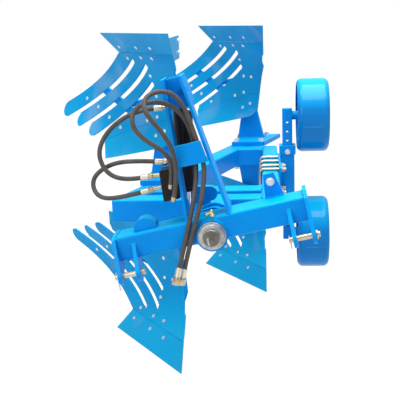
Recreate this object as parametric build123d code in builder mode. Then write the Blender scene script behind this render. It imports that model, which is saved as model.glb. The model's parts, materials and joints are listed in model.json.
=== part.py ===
"""Reversible two-furrow mounted plough with slatted moldboards, standing on its lower shares.

Millimetres, +Z up.  While it is drawn, X = 0 and Z = axis_height is the turnover axis, which runs
along Y, and Y = 0 is the line of the lower hitch pins; the plough is pulled towards -Y.
The turning frame stands upright and the headstock leans by head_lean about the turnover axis.
At the end every piece is moved so that the origin lies below the middle of the whole plough.
"""

from build123d import *

import os
from math import atan2, cos, degrees, pi, radians, sin, sqrt, tan

os.makedirs("parts", exist_ok=True)

# --- driving dimensions -------------------------------------------------------------------
axis_height = 750.0  # turnover axis above the ground, half the distance between the share planes
head_lean = 12.1  # degrees the headstock leans about the turnover axis
furrow_step_x = 384.0  # sideways step from the front bodies to the rear bodies
furrow_step_y = 1071.0  # lengthwise step from the front bodies to the rear bodies
running_clearance = 0.06  # between a shaft or pin and its bore, on the radius
face_gap = 0.3  # between faces that bear on each other
free_gap = 5.0  # between pieces that move past each other

# headstock
hitch_spread = 683.0  # between the middles of the two clevises
hitch_drop = 75.0  # hitch pins below the turnover axis, along the mast
hitch_pin_diameter = 22.0
clevis_gap = 58.0
lug_thickness = 15.0
lug_eye_radius = 34.0
crossbeam_height = 96.0
crossbeam_depth = 130.0
crossbeam_wall = 8.0
crossbeam_front = 30.0  # y of its front face
crossbeam_rise = 22.0  # its middle above the turnover axis
tube_corner = 12.0
sleeve_diameter = 124.0
sleeve_overhang = 10.0  # the sleeve stands out of the crossbeam by this much at each end
mast_plate = 12.0
mast_base_half = 82.0  # middle of each mast plate from the mast's middle, at the crossbeam
mast_top_half = 41.0
mast_base_depth = 118.0
mast_front_lean = 54.0  # the front edge runs back by this much from foot to top
mast_ear_height = 108.0  # ears at the top that carry the cylinder's pin
mast_ear_back = 240.0
lug_plate_spread = 78.0  # outside to outside of the two plates that hold the cylinder's pin
top_link_height = 552.0  # top link hole above the turnover axis
top_link_hole = 26.0
mast_top = top_link_height + 60
cylinder_pin_height = top_link_height - 7
lug_plate_low = cylinder_pin_height - 60
cross_plate_low = 283.0
cross_plate_high = 370.0
cross_plate_thickness = 14.0
hose_diameter = 18.0
ferrule_diameter = 24.0

# turnover shaft, nut, crank and cylinder
shaft_diameter = 64.0
nut_diameter = 104.0
nut_thickness = 35.0
shaft_stub = 5.0  # the shaft stands out of its nut by this much
cylinder_y = 200.0  # plane in which the cylinder swings
crank_radius = 105.0
crank_thickness = 22.0
crank_web_back = 20.0  # the web between its two plates starts this far past the axis
crank_boss = 62.0
crank_eye = 31.0
cylinder_pin_diameter = 25.0
eye_diameter = 50.0
eye_width = 30.0
barrel_diameter = 76.0
barrel_wall = 8.0
barrel_start = 76.0  # below the top pin
barrel_end = 388.0
barrel_neck = 29.0
gland_length = 40.0
rod_diameter = 32.0
piston_length = 30.0
rod_inside = 60.0  # rod between the gland and the piston when it is run out
hub_flange_diameter = 150.0
hub_flange_thickness = 20.0
hub_block_side = 116.0
stop_arm_thickness = 30.0
stop_arm_top = 140.0  # above the turnover axis
stop_arm_height = 60.0

# turning frame
beam = 100.0  # height and width of the square beams
beam_wall = 8.0
beam_corner = 10.0
front_beam_y = 475.0
front_beam_left = -460.0
middle_beam_y = 644.0
rear_beam_y = 1730.0
side_beam_left = 187.0
side_beam_width = 84.0
oblique_angle = 18.2  # degrees from Y
oblique_x = -43.0  # the oblique beam's middle line passes through this point
oblique_y = 1568.0
oblique_end = 2092.0

# shanks and their flanges, given for the front pair
shank_x = -268.0
shank_front = 862.0
shank_base_width = 158.0
shank_base_depth = 124.0
shank_neck_width = 91.0
shank_neck_depth = 92.0
shank_neck_height = 505.0  # height of the lower shank's end above the ground
flange_thickness = 25.0
flange_left = -379.0
flange_width = 192.0
flange_front = 711.0
flange_length = 300.0

# plough bodies, given for the front lower one
tip_x = -184.0
tip_y = 394.0
share_angle = 35.35  # degrees between the cutting edge and the line of travel
share_length = 679.0
share_slope = 50.0  # degrees of the share's face from the ground
share_height = 94.0
share_thickness = 10.0
moldboard_thickness = 8.0
moldboard_radius = 430.0
moldboard_twist = 17.5  # degrees the level lines have turned at twist_height
twist_height = 504.0
twist_station = 440.0  # distance along the edge where the guide arc stands
slot_width = 25.0
seam = 1.0  # visible gap between the plates of one body
frog_plate = 12.0
frog_top_depth = 108.0
frog_foot_depth = 46.0
brace_width = 42.0
stay_diameter = 28.0
frog_side_low = 200.0
frog_leg_inset = 44.0
post_width = 120.0
landside_thickness = 9.0
landside_inset = 12.0  # its outer face lies this far inside the share's end
landside_back = 780.0
landside_low = 22.0
landside_high = 130.0

# gauge wheels on their column
column_x = 317.0
column_y = 1175.0
column_side = 70.0
column_half = 155.0
leg_side = 50.0
leg_clearance = 1.0
leg_reach = 341.0  # from the turnover axis to the leg's end
leg_hole_diameter = 15.0
leg_hole_pitch = 47.0
collar_side = 82.0
collar_height = 45.0
bracket_length = 410.0
bracket_height = 150.0
wheel_drop = 305.0  # from the turnover axis to each wheel's middle
wheel_left = 365.0
wheel_width = 156.0
wheel_radius = 184.0
wheel_rim_radius = 168.0
wheel_shoulder = 30.0
wheel_wall = 6.0
wheel_disc = 30.0  # from the wheel's left rim to its disc
wheel_hub_diameter = 76.0
wheel_hub_length = 94.0
axle_diameter = 30.0
axle_shoulder = 44.0
u_bolt_diameter = 16.0
u_bolt_stations = (1018.0, 1114.0, 1236.0, 1354.0)

# --- shared planes and small helpers ------------------------------------------------------
lean = radians(head_lean)
share_turn = radians(share_angle)
head = Plane(origin=(0, 0, axis_height), x_dir=(cos(lean), 0, sin(lean)), z_dir=(-sin(lean), 0, cos(lean)))
axis_plane = Plane.XY.offset(axis_height)
edge_dir = Vector(-sin(share_turn), cos(share_turn), 0)
out_dir = Vector(cos(share_turn), sin(share_turn), 0)
tip = Vector(tip_x, tip_y, 0)
outline_plane = Plane(origin=tip, x_dir=edge_dir, z_dir=out_dir)
rear_step = Location((furrow_step_x, furrow_step_y, 0))
finished = {}


def save(piece, name):
    """Keep a finished piece under its name."""
    finished[name] = piece


def save_on_head(piece, name):
    """Headstock pieces are drawn about the turnover axis with the mast upright, then leaned."""
    save(head.location * piece, name)


def save_on_bodies(lower, kind):
    """Keep a front lower piece, its mirror image above the frame, and both again at the rear."""
    upper = mirror(lower, about=axis_plane)
    save(lower, f"{kind}_front_lower")
    save(upper, f"{kind}_front_upper")
    save(rear_step * lower, f"{kind}_rear_lower")
    save(rear_step * upper, f"{kind}_rear_upper")


# --- headstock ----------------------------------------------------------------------------
crossbeam_back = crossbeam_front + crossbeam_depth
crossbeam_middle = crossbeam_front + crossbeam_depth / 2
crossbeam_top = crossbeam_rise + crossbeam_height / 2
crossbeam_bottom = crossbeam_rise - crossbeam_height / 2
lug_pitch = clevis_gap + lug_thickness
crossbeam_half = hitch_spread / 2 + lug_pitch / 2 - lug_thickness / 2
sleeve_front = crossbeam_front - sleeve_overhang
sleeve_back = crossbeam_back + sleeve_overhang

with BuildPart() as crossbeam:
    with BuildSketch(Plane.YZ.offset(-crossbeam_half)):
        with Locations((crossbeam_middle, crossbeam_rise)):
            RectangleRounded(crossbeam_depth, crossbeam_height, tube_corner)
            RectangleRounded(
                crossbeam_depth - 2 * crossbeam_wall,
                crossbeam_height - 2 * crossbeam_wall,
                tube_corner - crossbeam_wall / 2,
                mode=Mode.SUBTRACT,
            )
    extrude(amount=2 * crossbeam_half)
    with BuildSketch(Plane.XZ.offset(-crossbeam_back - 1)):
        Circle(sleeve_diameter / 2)
    extrude(amount=crossbeam_depth + 2, mode=Mode.SUBTRACT)
save_on_head(crossbeam.part, "crossbeam")

with BuildPart() as hub_sleeve:
    with BuildSketch(Plane.XZ.offset(-sleeve_back)):
        Circle(sleeve_diameter / 2)
        Circle(shaft_diameter / 2 + running_clearance, mode=Mode.SUBTRACT)
    extrude(amount=sleeve_back - sleeve_front)
save_on_head(hub_sleeve.part, "hub_sleeve")

# each clevis is an inner lug on the crossbeam's front face and an outer lug that closes its end
for side, name in ((-1, "clevis_left"), (1, "clevis_right")):
    outer_top = crossbeam_top + (20 if side > 0 else 3)
    with BuildPart() as clevis:
        with BuildSketch(Plane.YZ.offset(side * (hitch_spread / 2 - lug_pitch / 2) - lug_thickness / 2)):
            with BuildLine():
                Polyline(
                    (crossbeam_front, crossbeam_top - 32),
                    (-lug_eye_radius, -hitch_drop + 8),
                    (-lug_eye_radius, -hitch_drop),
                    (lug_eye_radius, -hitch_drop),
                    (crossbeam_front + 74, crossbeam_bottom),
                    (crossbeam_front, crossbeam_bottom),
                    close=True,
                )
            make_face()
            with Locations((0, -hitch_drop)):
                Circle(lug_eye_radius)
                Circle(hitch_pin_diameter / 2 + running_clearance, mode=Mode.SUBTRACT)
        extrude(amount=lug_thickness)
        with BuildSketch(Plane.YZ.offset(side * (hitch_spread / 2 + lug_pitch / 2) - lug_thickness / 2)):
            with BuildLine():
                Polyline(
                    (crossbeam_back, crossbeam_bottom),
                    (crossbeam_back, crossbeam_top),
                    (crossbeam_back - 24, outer_top),
                    (crossbeam_front + 22, outer_top),
                    (crossbeam_front - 6, crossbeam_top - 6),
                    (-lug_eye_radius, -hitch_drop + 8),
                    (-lug_eye_radius, -hitch_drop),
                    (lug_eye_radius, -hitch_drop),
                    (crossbeam_front + 74, crossbeam_bottom),
                    close=True,
                )
            make_face()
            with Locations((0, -hitch_drop)):
                Circle(lug_eye_radius)
                Circle(hitch_pin_diameter / 2 + running_clearance, mode=Mode.SUBTRACT)
        extrude(amount=lug_thickness)
    save_on_head(clevis.part, name)

pin_reach = lug_pitch / 2 + lug_thickness / 2
with BuildPart() as hitch_pins:
    for side in (-1, 1):
        pin_middle = side * hitch_spread / 2
        with BuildSketch(Plane.YZ.offset(pin_middle - pin_reach - 16)):
            with Locations((0, -hitch_drop)):
                Circle(hitch_pin_diameter / 2)
        extrude(amount=2 * pin_reach + 32)
        with BuildSketch(Plane.YZ.offset(pin_middle + side * (pin_reach + 4) - 3)):
            with Locations((0, -hitch_drop)):
                Circle(hitch_pin_diameter / 2 + 7)
        extrude(amount=6)
save_on_head(hitch_pins.part, "hitch_pins")

mast_rise = mast_top - crossbeam_top
mast_lean = (mast_base_half - mast_top_half) / mast_rise
mast_length = mast_rise * sqrt(1 + mast_lean**2)
mast_front = crossbeam_front + 4
mast_back = crossbeam_front + mast_base_depth
top_link_y = mast_front + mast_front_lean + 28

for side, name in ((-1, "mast_plate_left"), (1, "mast_plate_right")):
    lean_up = Vector(-side * mast_lean, 0, 1).normalized()
    normal = Vector(0, 1, 0).cross(lean_up)
    foot = Vector(side * mast_base_half, 0, crossbeam_top)
    with BuildPart() as mast:
        with BuildSketch(Plane(origin=foot - normal * mast_plate / 2, x_dir=(0, 1, 0), z_dir=normal)):
            with BuildLine():
                Polyline(
                    (mast_front, -2),
                    (mast_back, -2),
                    (mast_back, mast_length - mast_ear_height - 12),
                    (mast_back + 12, mast_length - mast_ear_height),
                    (mast_ear_back, mast_length - mast_ear_height),
                    (mast_ear_back, mast_length - 26),
                    (mast_ear_back - 26, mast_length),
                    (mast_front + mast_front_lean, mast_length),
                    close=True,
                )
            make_face()
        extrude(amount=mast_plate)
        split(bisect_by=Plane.XY.offset(crossbeam_top), keep=Keep.TOP)
        with BuildSketch(Plane.YZ):
            with Locations((top_link_y, top_link_height)):
                Circle(top_link_hole / 2)
        extrude(amount=mast_base_half * 2, both=True, mode=Mode.SUBTRACT)
    save_on_head(mast.part, name)


def mast_inside(height):
    """Half the clear width between the mast plates at a height above the turnover axis."""
    slant = sqrt(1 + mast_lean**2)
    return mast_base_half - mast_lean * (height - crossbeam_top) - (mast_plate / 2 + face_gap) * slant


# two lug plates between the mast plates hold the cylinder's top pin
lug_front = cylinder_y - lug_plate_spread / 2
lug_back = cylinder_y + lug_plate_spread / 2
with BuildPart() as mast_lugs:
    for back, low in ((lug_front + mast_plate, lug_plate_low), (lug_back, lug_plate_low + 16)):
        with BuildSketch(Plane.XZ.offset(-back)):
            with BuildLine():
                Polyline(
                    (-mast_inside(mast_top - 6), mast_top - 6),
                    (mast_inside(mast_top - 6), mast_top - 6),
                    (mast_inside(low), low),
                    (-mast_inside(low), low),
                    close=True,
                )
            make_face()
            with Locations((0, cylinder_pin_height)):
                Circle(cylinder_pin_diameter / 2, mode=Mode.SUBTRACT)
        extrude(amount=mast_plate)
save_on_head(mast_lugs.part, "mast_lugs")

with BuildPart() as cross_plate:
    with BuildSketch(Plane.XZ.offset(-mast_front - 16)):
        with BuildLine():
            Polyline(
                (-mast_inside(cross_plate_high), cross_plate_high),
                (mast_inside(cross_plate_high), cross_plate_high),
                (mast_inside(cross_plate_low), cross_plate_low),
                (-mast_inside(cross_plate_low), cross_plate_low),
                close=True,
            )
        make_face()
    extrude(amount=cross_plate_thickness)
save_on_head(cross_plate.part, "mast_cross_plate")

with BuildPart() as cylinder_top_pin:
    with BuildSketch(Plane.XZ.offset(-lug_back - 6)):
        with Locations((0, cylinder_pin_height)):
            Circle(cylinder_pin_diameter / 2)
    extrude(amount=lug_plate_spread + 12)
save_on_head(cylinder_top_pin.part, "cylinder_top_pin")

with BuildPart() as stops:
    with BuildSketch(Plane.XZ.offset(-crossbeam_middle - 22)):
        with BuildLine():
            Polyline((-296, crossbeam_top + 8), (-296, crossbeam_top), (-206, crossbeam_top), (-206, crossbeam_top + 20))
            ThreePointArc((-206, crossbeam_top + 20), (-238, crossbeam_top + 46), (-296, crossbeam_top + 8))
        make_face()
    extrude(amount=60)
    with BuildSketch(Plane.XZ.offset(-crossbeam_back + 12)):
        with BuildLine():
            Polyline(
                (224, crossbeam_top),
                (300, crossbeam_top),
                (278, crossbeam_top + 95),
                (236, crossbeam_top + 95),
                close=True,
            )
        make_face()
        with Locations((258, crossbeam_top + 62)):
            Circle(11, mode=Mode.SUBTRACT)
    extrude(amount=16)
save_on_head(stops.part, "stops")

valve_right = mast_base_half - mast_lean * 130 + mast_plate / 2 + 2
valve_back = crossbeam_middle + 50
valve_front = valve_back - 70
with BuildPart() as valve_block:
    with BuildSketch(Plane.XZ.offset(-valve_back)):
        with BuildLine():
            Polyline(
                (-valve_right - 76, 158),
                (-valve_right - 8, 158),
                (-valve_right, 280),
                (-valve_right - 64, 280),
                close=True,
            )
        make_face()
    extrude(amount=valve_back - valve_front)
    chamfer(valve_block.edges().filter_by(Axis.Y), 4)
save_on_head(valve_block.part, "valve_block")
print("headstock drawn")

# --- turnover shaft, nut, crank and hub on the turning frame ------------------------------
nut_back = sleeve_front - face_gap
fork_front = sleeve_back + face_gap
fork_back = cylinder_y - eye_width / 2 - free_gap
crank_front = cylinder_y + eye_width / 2 + free_gap + 2
hub_flange_front = crank_front + crank_thickness
hub_block_front = hub_flange_front + hub_flange_thickness
front_beam_front = front_beam_y - beam / 2
shaft_start = nut_back - nut_thickness - shaft_stub

with BuildPart() as turnover_shaft:
    with BuildSketch(Plane.XZ.offset(-shaft_start)):
        with Locations((0, axis_height)):
            Circle(shaft_diameter / 2)
    extrude(amount=-(fork_back - shaft_start))
    chamfer(turnover_shaft.faces().sort_by(Axis.Y)[0].edges(), 3)
save(turnover_shaft.part, "turnover_shaft")

with BuildPart() as shaft_nut:
    with BuildSketch(Plane.XZ.offset(-nut_back)):
        with Locations((0, axis_height)):
            Circle(nut_diameter / 2)
    extrude(amount=nut_thickness)
    chamfer(shaft_nut.faces().sort_by(Axis.Y)[0].edges(), 5)
    with BuildSketch(Plane.XZ.offset(-nut_back)):
        with Locations((0, axis_height)):
            Circle(shaft_diameter / 2)
    extrude(amount=nut_thickness, mode=Mode.SUBTRACT)
save(shaft_nut.part, "shaft_nut")

# a forked crank: the rod's eye works between its two plates, and a web past the axis joins them
with BuildPart() as crank:
    for front, back in ((fork_front, fork_back), (crank_front, hub_flange_front)):
        with BuildSketch(Plane.XZ.offset(-front)):
            with Locations((0, axis_height)):
                Circle(crank_boss)
            with Locations((-crank_radius, axis_height)):
                Circle(crank_eye)
            make_hull()
        extrude(amount=-(back - front))
    with BuildSketch(Plane.XZ.offset(-fork_back)):
        with Locations((0, axis_height)):
            Circle(crank_boss)
        with Locations((crank_web_back, axis_height)):
            Rectangle(2 * crank_boss, 2 * crank_boss, align=(Align.MAX, Align.CENTER), mode=Mode.SUBTRACT)
    extrude(amount=-(crank_front - fork_back))
    with BuildSketch(Plane.XZ.offset(-fork_front)):
        with Locations((0, axis_height)):
            Circle(shaft_diameter / 2)
    extrude(amount=-(fork_back - fork_front), mode=Mode.SUBTRACT)
save(crank.part, "crank")

with BuildPart() as hub_block:
    with BuildSketch(Plane.XZ.offset(-hub_flange_front)):
        with Locations((0, axis_height)):
            Circle(hub_flange_diameter / 2)
    extrude(amount=-hub_flange_thickness)
    with BuildSketch(Plane.XZ.offset(-hub_block_front)):
        with Locations((0, axis_height)):
            RectangleRounded(hub_block_side, hub_block_side, 20)
    extrude(amount=-(front_beam_front - hub_block_front))
save(hub_block.part, "hub_block")

# the arm swings over to the stops on the crossbeam
with BuildPart() as stop_arm:
    with BuildSketch(Plane.XZ.offset(-hub_block_front)):
        with BuildLine():
            Polyline(
                (-hub_block_side / 2 + 20, axis_height + hub_block_side / 2),
                (-20, axis_height + hub_block_side / 2),
                (-20, axis_height + stop_arm_top),
                (-120, axis_height + stop_arm_top),
                (-120, axis_height + stop_arm_top - stop_arm_height),
                close=True,
            )
        make_face()
        with Locations((-20, axis_height + stop_arm_top - stop_arm_height / 2)):
            Circle(stop_arm_height / 2)
    extrude(amount=-stop_arm_thickness)
save(stop_arm.part, "stop_arm")

# the cylinder hangs from the mast and pulls on the crank
top_pin = Vector(-sin(lean) * cylinder_pin_height, cylinder_y, axis_height + cos(lean) * cylinder_pin_height)
crank_pin = Vector(-crank_radius, cylinder_y, axis_height)
pull = (crank_pin - top_pin).normalized()
pin_distance = (crank_pin - top_pin).length


def along_cylinder(distance):
    """Plane square to the cylinder at a distance below its top pin."""
    return Plane(origin=top_pin + pull * distance, x_dir=(0, 1, 0), z_dir=pull)


with BuildPart() as cylinder_barrel:
    with BuildSketch(Plane.XZ.offset(-cylinder_y - eye_width / 2)):
        with Locations((top_pin.X, top_pin.Z)):
            Circle(eye_diameter / 2)
    extrude(amount=eye_width)
    with BuildSketch(along_cylinder(eye_diameter / 2 - 8)):
        Circle(barrel_neck / 2)
    extrude(amount=barrel_start - eye_diameter / 2 + 12)
    with BuildSketch(along_cylinder(barrel_start)):
        Circle(barrel_diameter / 2)
    extrude(amount=barrel_end - barrel_start)
    with BuildSketch(along_cylinder(barrel_start + barrel_wall * 2)):
        Circle(barrel_diameter / 2 - barrel_wall)
    extrude(amount=barrel_end - gland_length - barrel_start - barrel_wall * 2, mode=Mode.SUBTRACT)
    with BuildSketch(along_cylinder(barrel_end)):
        Circle(rod_diameter / 2 + running_clearance)
    extrude(amount=-gland_length - 1, mode=Mode.SUBTRACT)
    with BuildSketch(Plane.XZ.offset(-cylinder_y - eye_width / 2)):
        with Locations((top_pin.X, top_pin.Z)):
            Circle(cylinder_pin_diameter / 2 + running_clearance)
    extrude(amount=eye_width, mode=Mode.SUBTRACT)
save(cylinder_barrel.part, "cylinder_barrel")

with BuildPart() as cylinder_rod:
    with BuildSketch(along_cylinder(barrel_end - gland_length - rod_inside)):
        Circle(rod_diameter / 2)
    extrude(amount=pin_distance - barrel_end + gland_length + rod_inside)
    with BuildSketch(along_cylinder(barrel_end - gland_length - rod_inside)):
        Circle(barrel_diameter / 2 - barrel_wall - running_clearance)
    extrude(amount=piston_length)
    with BuildSketch(Plane.XZ.offset(-cylinder_y - eye_width / 2)):
        with Locations((crank_pin.X, crank_pin.Z)):
            Circle(eye_diameter / 2)
    extrude(amount=eye_width)
    with BuildSketch(Plane.XZ.offset(-cylinder_y - eye_width / 2 - 2)):
        with Locations((crank_pin.X, crank_pin.Z)):
            Circle(cylinder_pin_diameter / 2)
    extrude(amount=eye_width + 4)
save(cylinder_rod.part, "cylinder_rod")
print("hub and cylinder drawn")

# --- turning frame ------------------------------------------------------------------------
oblique = radians(oblique_angle)
oblique_dir = Vector(sin(oblique), cos(oblique), 0)
oblique_side = Vector(cos(oblique), -sin(oblique), 0)
oblique_point = Vector(oblique_x, oblique_y, axis_height)
oblique_right = Plane(origin=oblique_point + oblique_side * (beam / 2), z_dir=oblique_side)
side_beam_right = side_beam_left + side_beam_width
front_beam_back = front_beam_front + beam
rear_beam_back = rear_beam_y + beam / 2

for name, middle_y, left in (
    ("beam_front", front_beam_y, front_beam_left),
    ("beam_middle", middle_beam_y, front_beam_left),
    ("beam_rear", rear_beam_y, oblique_x),
):
    with BuildPart() as cross_beam:
        with BuildSketch(Plane.YZ.offset(side_beam_left)):
            with Locations((middle_y, axis_height)):
                RectangleRounded(beam, beam, beam_corner)
                RectangleRounded(
                    beam - 2 * beam_wall, beam - 2 * beam_wall, beam_corner / 2, mode=Mode.SUBTRACT
                )
        extrude(amount=left - side_beam_left)
        if name == "beam_front":
            with BuildSketch(Plane.YZ.offset(left)):
                with Locations((middle_y, axis_height)):
                    RectangleRounded(beam, beam, beam_corner)
            extrude(amount=beam_wall)
        else:
            split(bisect_by=oblique_right, keep=Keep.TOP)
    save(cross_beam.part, name)

with BuildPart() as beam_side:
    with BuildSketch(Plane.XZ.offset(-front_beam_front)):
        with Locations((side_beam_left + side_beam_width / 2, axis_height)):
            RectangleRounded(side_beam_width, beam, beam_corner)
    extrude(amount=-(rear_beam_back - front_beam_front))
    with BuildSketch(Plane.XZ.offset(-front_beam_front - beam_wall)):
        with Locations((side_beam_left + side_beam_width / 2, axis_height)):
            RectangleRounded(side_beam_width - 2 * beam_wall, beam - 2 * beam_wall, beam_corner / 2)
    extrude(amount=-(rear_beam_back - front_beam_front), mode=Mode.SUBTRACT)
save(beam_side.part, "beam_side")

oblique_run = (oblique_end - front_beam_back) / cos(oblique) + 60
oblique_start = oblique_point + oblique_dir * ((front_beam_back - oblique_y) / cos(oblique) - 60)
with BuildPart() as beam_oblique:
    with BuildSketch(Plane(origin=oblique_start, x_dir=oblique_side, z_dir=oblique_dir)):
        RectangleRounded(beam, beam, beam_corner)
        RectangleRounded(beam - 2 * beam_wall, beam - 2 * beam_wall, beam_corner / 2, mode=Mode.SUBTRACT)
    extrude(amount=oblique_run)
    with BuildSketch(
        Plane(origin=oblique_start + oblique_dir * oblique_run, x_dir=oblique_side, z_dir=oblique_dir)
    ):
        RectangleRounded(beam, beam, beam_corner)
    extrude(amount=-beam_wall)
    split(bisect_by=Plane.XZ.offset(-front_beam_back), keep=Keep.BOTTOM)
save(beam_oblique.part, "beam_oblique")

flange_top = axis_height - beam / 2
flange_bottom = flange_top - flange_thickness
flange_shift = flange_length * tan(oblique)
with BuildPart() as shank:
    with BuildSketch(Plane.XY.offset(flange_bottom)):
        with BuildLine():
            Polyline(
                (flange_left, flange_front),
                (flange_left + flange_width, flange_front),
                (flange_left + flange_width + flange_shift, flange_front + flange_length),
                (flange_left + flange_shift, flange_front + flange_length),
                close=True,
            )
        make_face()
    extrude(amount=flange_thickness)
    with BuildSketch(Plane.XY.offset(flange_bottom)):
        with Locations((shank_x, shank_front + shank_base_depth / 2)):
            RectangleRounded(shank_base_width, shank_base_depth, 8)
    with BuildSketch(Plane.XY.offset(shank_neck_height)):
        with Locations((shank_x - 6, shank_front + 6 + shank_neck_depth / 2)):
            RectangleRounded(shank_neck_width, shank_neck_depth, 8)
    loft()
save_on_bodies(shank.part, "shank")
print("frame drawn")

# --- plough bodies ------------------------------------------------------------------------
slope = radians(share_slope)
share_run = share_height / tan(slope)
landside_plane = Plane.YZ.offset(tip_x)


def arc_cosine(height):
    """Cosine of the guide arc's slope at a height above the share."""
    return cos(slope) - (height - share_height) / moldboard_radius


def guide(height):
    """How far the guide arc stands out at a height."""
    return share_run + moldboard_radius * (sqrt(1 - arc_cosine(height) ** 2) - sin(slope))


def twist(height):
    """Tangent of the angle by which the level lines have turned at a height."""
    return tan(radians(moldboard_twist) * sqrt((height - share_height) / (twist_height - share_height)))


def board_out(station, height, depth):
    """Outward place of a point `depth` behind the moldboard's face."""
    steepness = arc_cosine(height) / sqrt(1 - arc_cosine(height) ** 2)
    return guide(height) - (station - twist_station) * twist(height) + depth * sqrt(1 + steepness**2)


def landside_station(height, depth, inset):
    """Station at which that surface lies `inset` inside the landside plane."""
    level = board_out(twist_station, height, depth) + twist_station * twist(height)
    return (inset + cos(share_turn) * level) / (sin(share_turn) + cos(share_turn) * twist(height))


def level_section(height, start, end, front, back):
    """One level slice of a layer behind the moldboard's face."""
    with BuildSketch(Plane(origin=tip + Vector(0, 0, height), x_dir=edge_dir, z_dir=(0, 0, 1))) as level:
        with BuildLine():
            Polyline(
                (start, -board_out(start, height, front)),
                (end, -board_out(end, height, front)),
                (end, -board_out(end, height, back)),
                (start, -board_out(start, height, back)),
                close=True,
            )
        make_face()
    return level.sketch.face()


with BuildPart() as share:
    with BuildSketch(Plane(origin=tip - edge_dir * 20, x_dir=out_dir, z_dir=-edge_dir)):
        with BuildLine():
            Polyline(
                (0, 0),
                (share_run, share_height),
                (share_run + share_thickness / sin(slope), share_height),
                (share_thickness / sin(slope), 0),
                close=True,
            )
        make_face()
    extrude(amount=-share_length - 20)
    split(bisect_by=landside_plane, keep=Keep.BOTTOM)
    with BuildSketch(outline_plane):
        with BuildLine():
            Polyline(
                (share_length, 0),
                (share_length + 1, 0),
                (share_length + 1, share_height + 1),
                (share_length - 37, share_height + 1),
                close=True,
            )
        make_face()
    extrude(amount=200, both=True, mode=Mode.SUBTRACT)
save_on_bodies(share.part, "share")

with BuildPart() as blank:
    board_heights = [share_height + rise for rise in (0, 71, 146, 226, 316, 416, 526)]
    loft([level_section(height, 60, 1260, 0, moldboard_thickness) for height in board_heights])
    split(bisect_by=landside_plane, keep=Keep.BOTTOM)

foot_height = share_height + seam
slots = [
    ThreePointArc((start_a, start_z), (middle_a, middle_z), (end_a, end_z))
    for start_a, start_z, middle_a, middle_z, end_a, end_z in (
        (540, 134, 811, 285, 1150, 467),
        (448, 157, 727, 330, 1044, 521),
        (460, 243, 639, 369, 900, 557),
    )
]

slat_ends = (
    (1146, 363, 1162, 410, 1104, 433),
    (1012, 413, 1028, 456, 976, 478),
    (900, 446, 915, 494, 866, 518),
)

with BuildSketch() as board_outline:
    with BuildLine():
        Line((111, foot_height), (642, foot_height))
        ThreePointArc((642, foot_height), (920, 250), (1146, 363))
        for start_a, start_z, tip_a, tip_z, end_a, end_z in slat_ends:
            ThreePointArc((start_a, start_z), (tip_a, tip_z), (end_a, end_z))
        Line((1104, 433), (1012, 413))
        Line((976, 478), (900, 446))
        Polyline((866, 518), (790, 478), (781, 531), (712, 615))
        ThreePointArc((712, 615), (566, 581), (382, 535))
        Line((382, 535), (346, 498))
        ThreePointArc((346, 498), (322, 310), (251, 179))
        Line((251, 179), (111, foot_height))
    make_face()

with BuildSketch() as above_seam:
    with BuildLine():
        Polyline((300, 381), (365, 398), (602, 461), (775, 531), (860, 566), (860, 700), (300, 700), close=True)
    make_face()

with BuildPart() as moldboard:
    with BuildSketch(outline_plane):
        add(board_outline.sketch)
        add(above_seam.sketch, mode=Mode.SUBTRACT)
        for slot in slots:
            SlotArc(slot, slot_width, mode=Mode.SUBTRACT)
    extrude(amount=400, both=True)
    add(blank.part, mode=Mode.INTERSECT)
save_on_bodies(moldboard.part, "moldboard")

with BuildPart() as upper_strip:
    with BuildSketch(outline_plane):
        add(board_outline.sketch)
        with Locations((0, seam)):
            add(above_seam.sketch, mode=Mode.INTERSECT)
    extrude(amount=400, both=True)
    add(blank.part, mode=Mode.INTERSECT)
save_on_bodies(upper_strip.part, "upper_strip")
print("shares and moldboards drawn")

plate_front = moldboard_thickness + 2 * face_gap
plate_back = plate_front + frog_plate
post_foot = share_height + 56
post_near = shank_front - tip_y - 68
backing_far = post_near + 52

brace_start = Vector(436, 484)
brace_end = Vector(884, 278)
brace_run = brace_end - brace_start

# backing plate from the landside to where the slots begin, and a brace across the slats
with BuildPart() as backing:
    backing_sections = []
    for height in board_heights:
        start = landside_station(height, plate_front, 2)
        backing_sections.append(level_section(height, start, 1060, plate_front, plate_back))
    loft(backing_sections)
    with BuildSketch(outline_plane):
        with Locations((backing_far / 2, (post_foot + shank_neck_height) / 2)):
            Rectangle(backing_far, shank_neck_height - post_foot)
        with Locations(((brace_start + brace_end) / 2)):
            SlotCenterToCenter(brace_run.length, brace_width, rotation=degrees(atan2(brace_run.Y, brace_run.X)))
    extrude(amount=400, both=True, mode=Mode.INTERSECT)


def behind_board(station, height, depth):
    """Point at a depth behind the moldboard's face."""
    return tip + edge_dir * station + out_dir * board_out(station, height, depth) + Vector(0, 0, height)


stay_start = behind_board(post_near + 40, 300, 50)
stay_end = behind_board(704, 360, plate_back + stay_diameter / 2 - 3)
stay_dir = (stay_end - stay_start).normalized()



def side_edge(inset, heights):
    """Front edge of a plate parallel to the landside plane, just behind the share and moldboard."""
    edge = []
    for height in heights:
        station = landside_station(height, share_thickness + 3, inset) - inset * sin(share_turn)
        edge.append((tip_y + station / cos(share_turn), height))
    return edge


side_inset = frog_leg_inset + frog_plate
side_heights = [frog_side_low + rise for rise in (0, 40, 110, 180, 250)]
leg_heights = [share_height + rise for rise in (0, 14, 31, 56, 96, 146)]
landside_edge = side_edge(landside_inset + landside_thickness, (share_height, landside_high))
post_sections = []
for rise, shift in ((0, 68), (0.25, 68), (0.5, 50), (0.75, 20), (1, 0)):
    height = post_foot + rise * (shank_neck_height - post_foot)
    depth = frog_foot_depth + rise * (frog_top_depth - frog_foot_depth)
    start = post_near - shift
    post_sections.append(level_section(height, start, start + post_width, plate_back - 4, depth))

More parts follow.
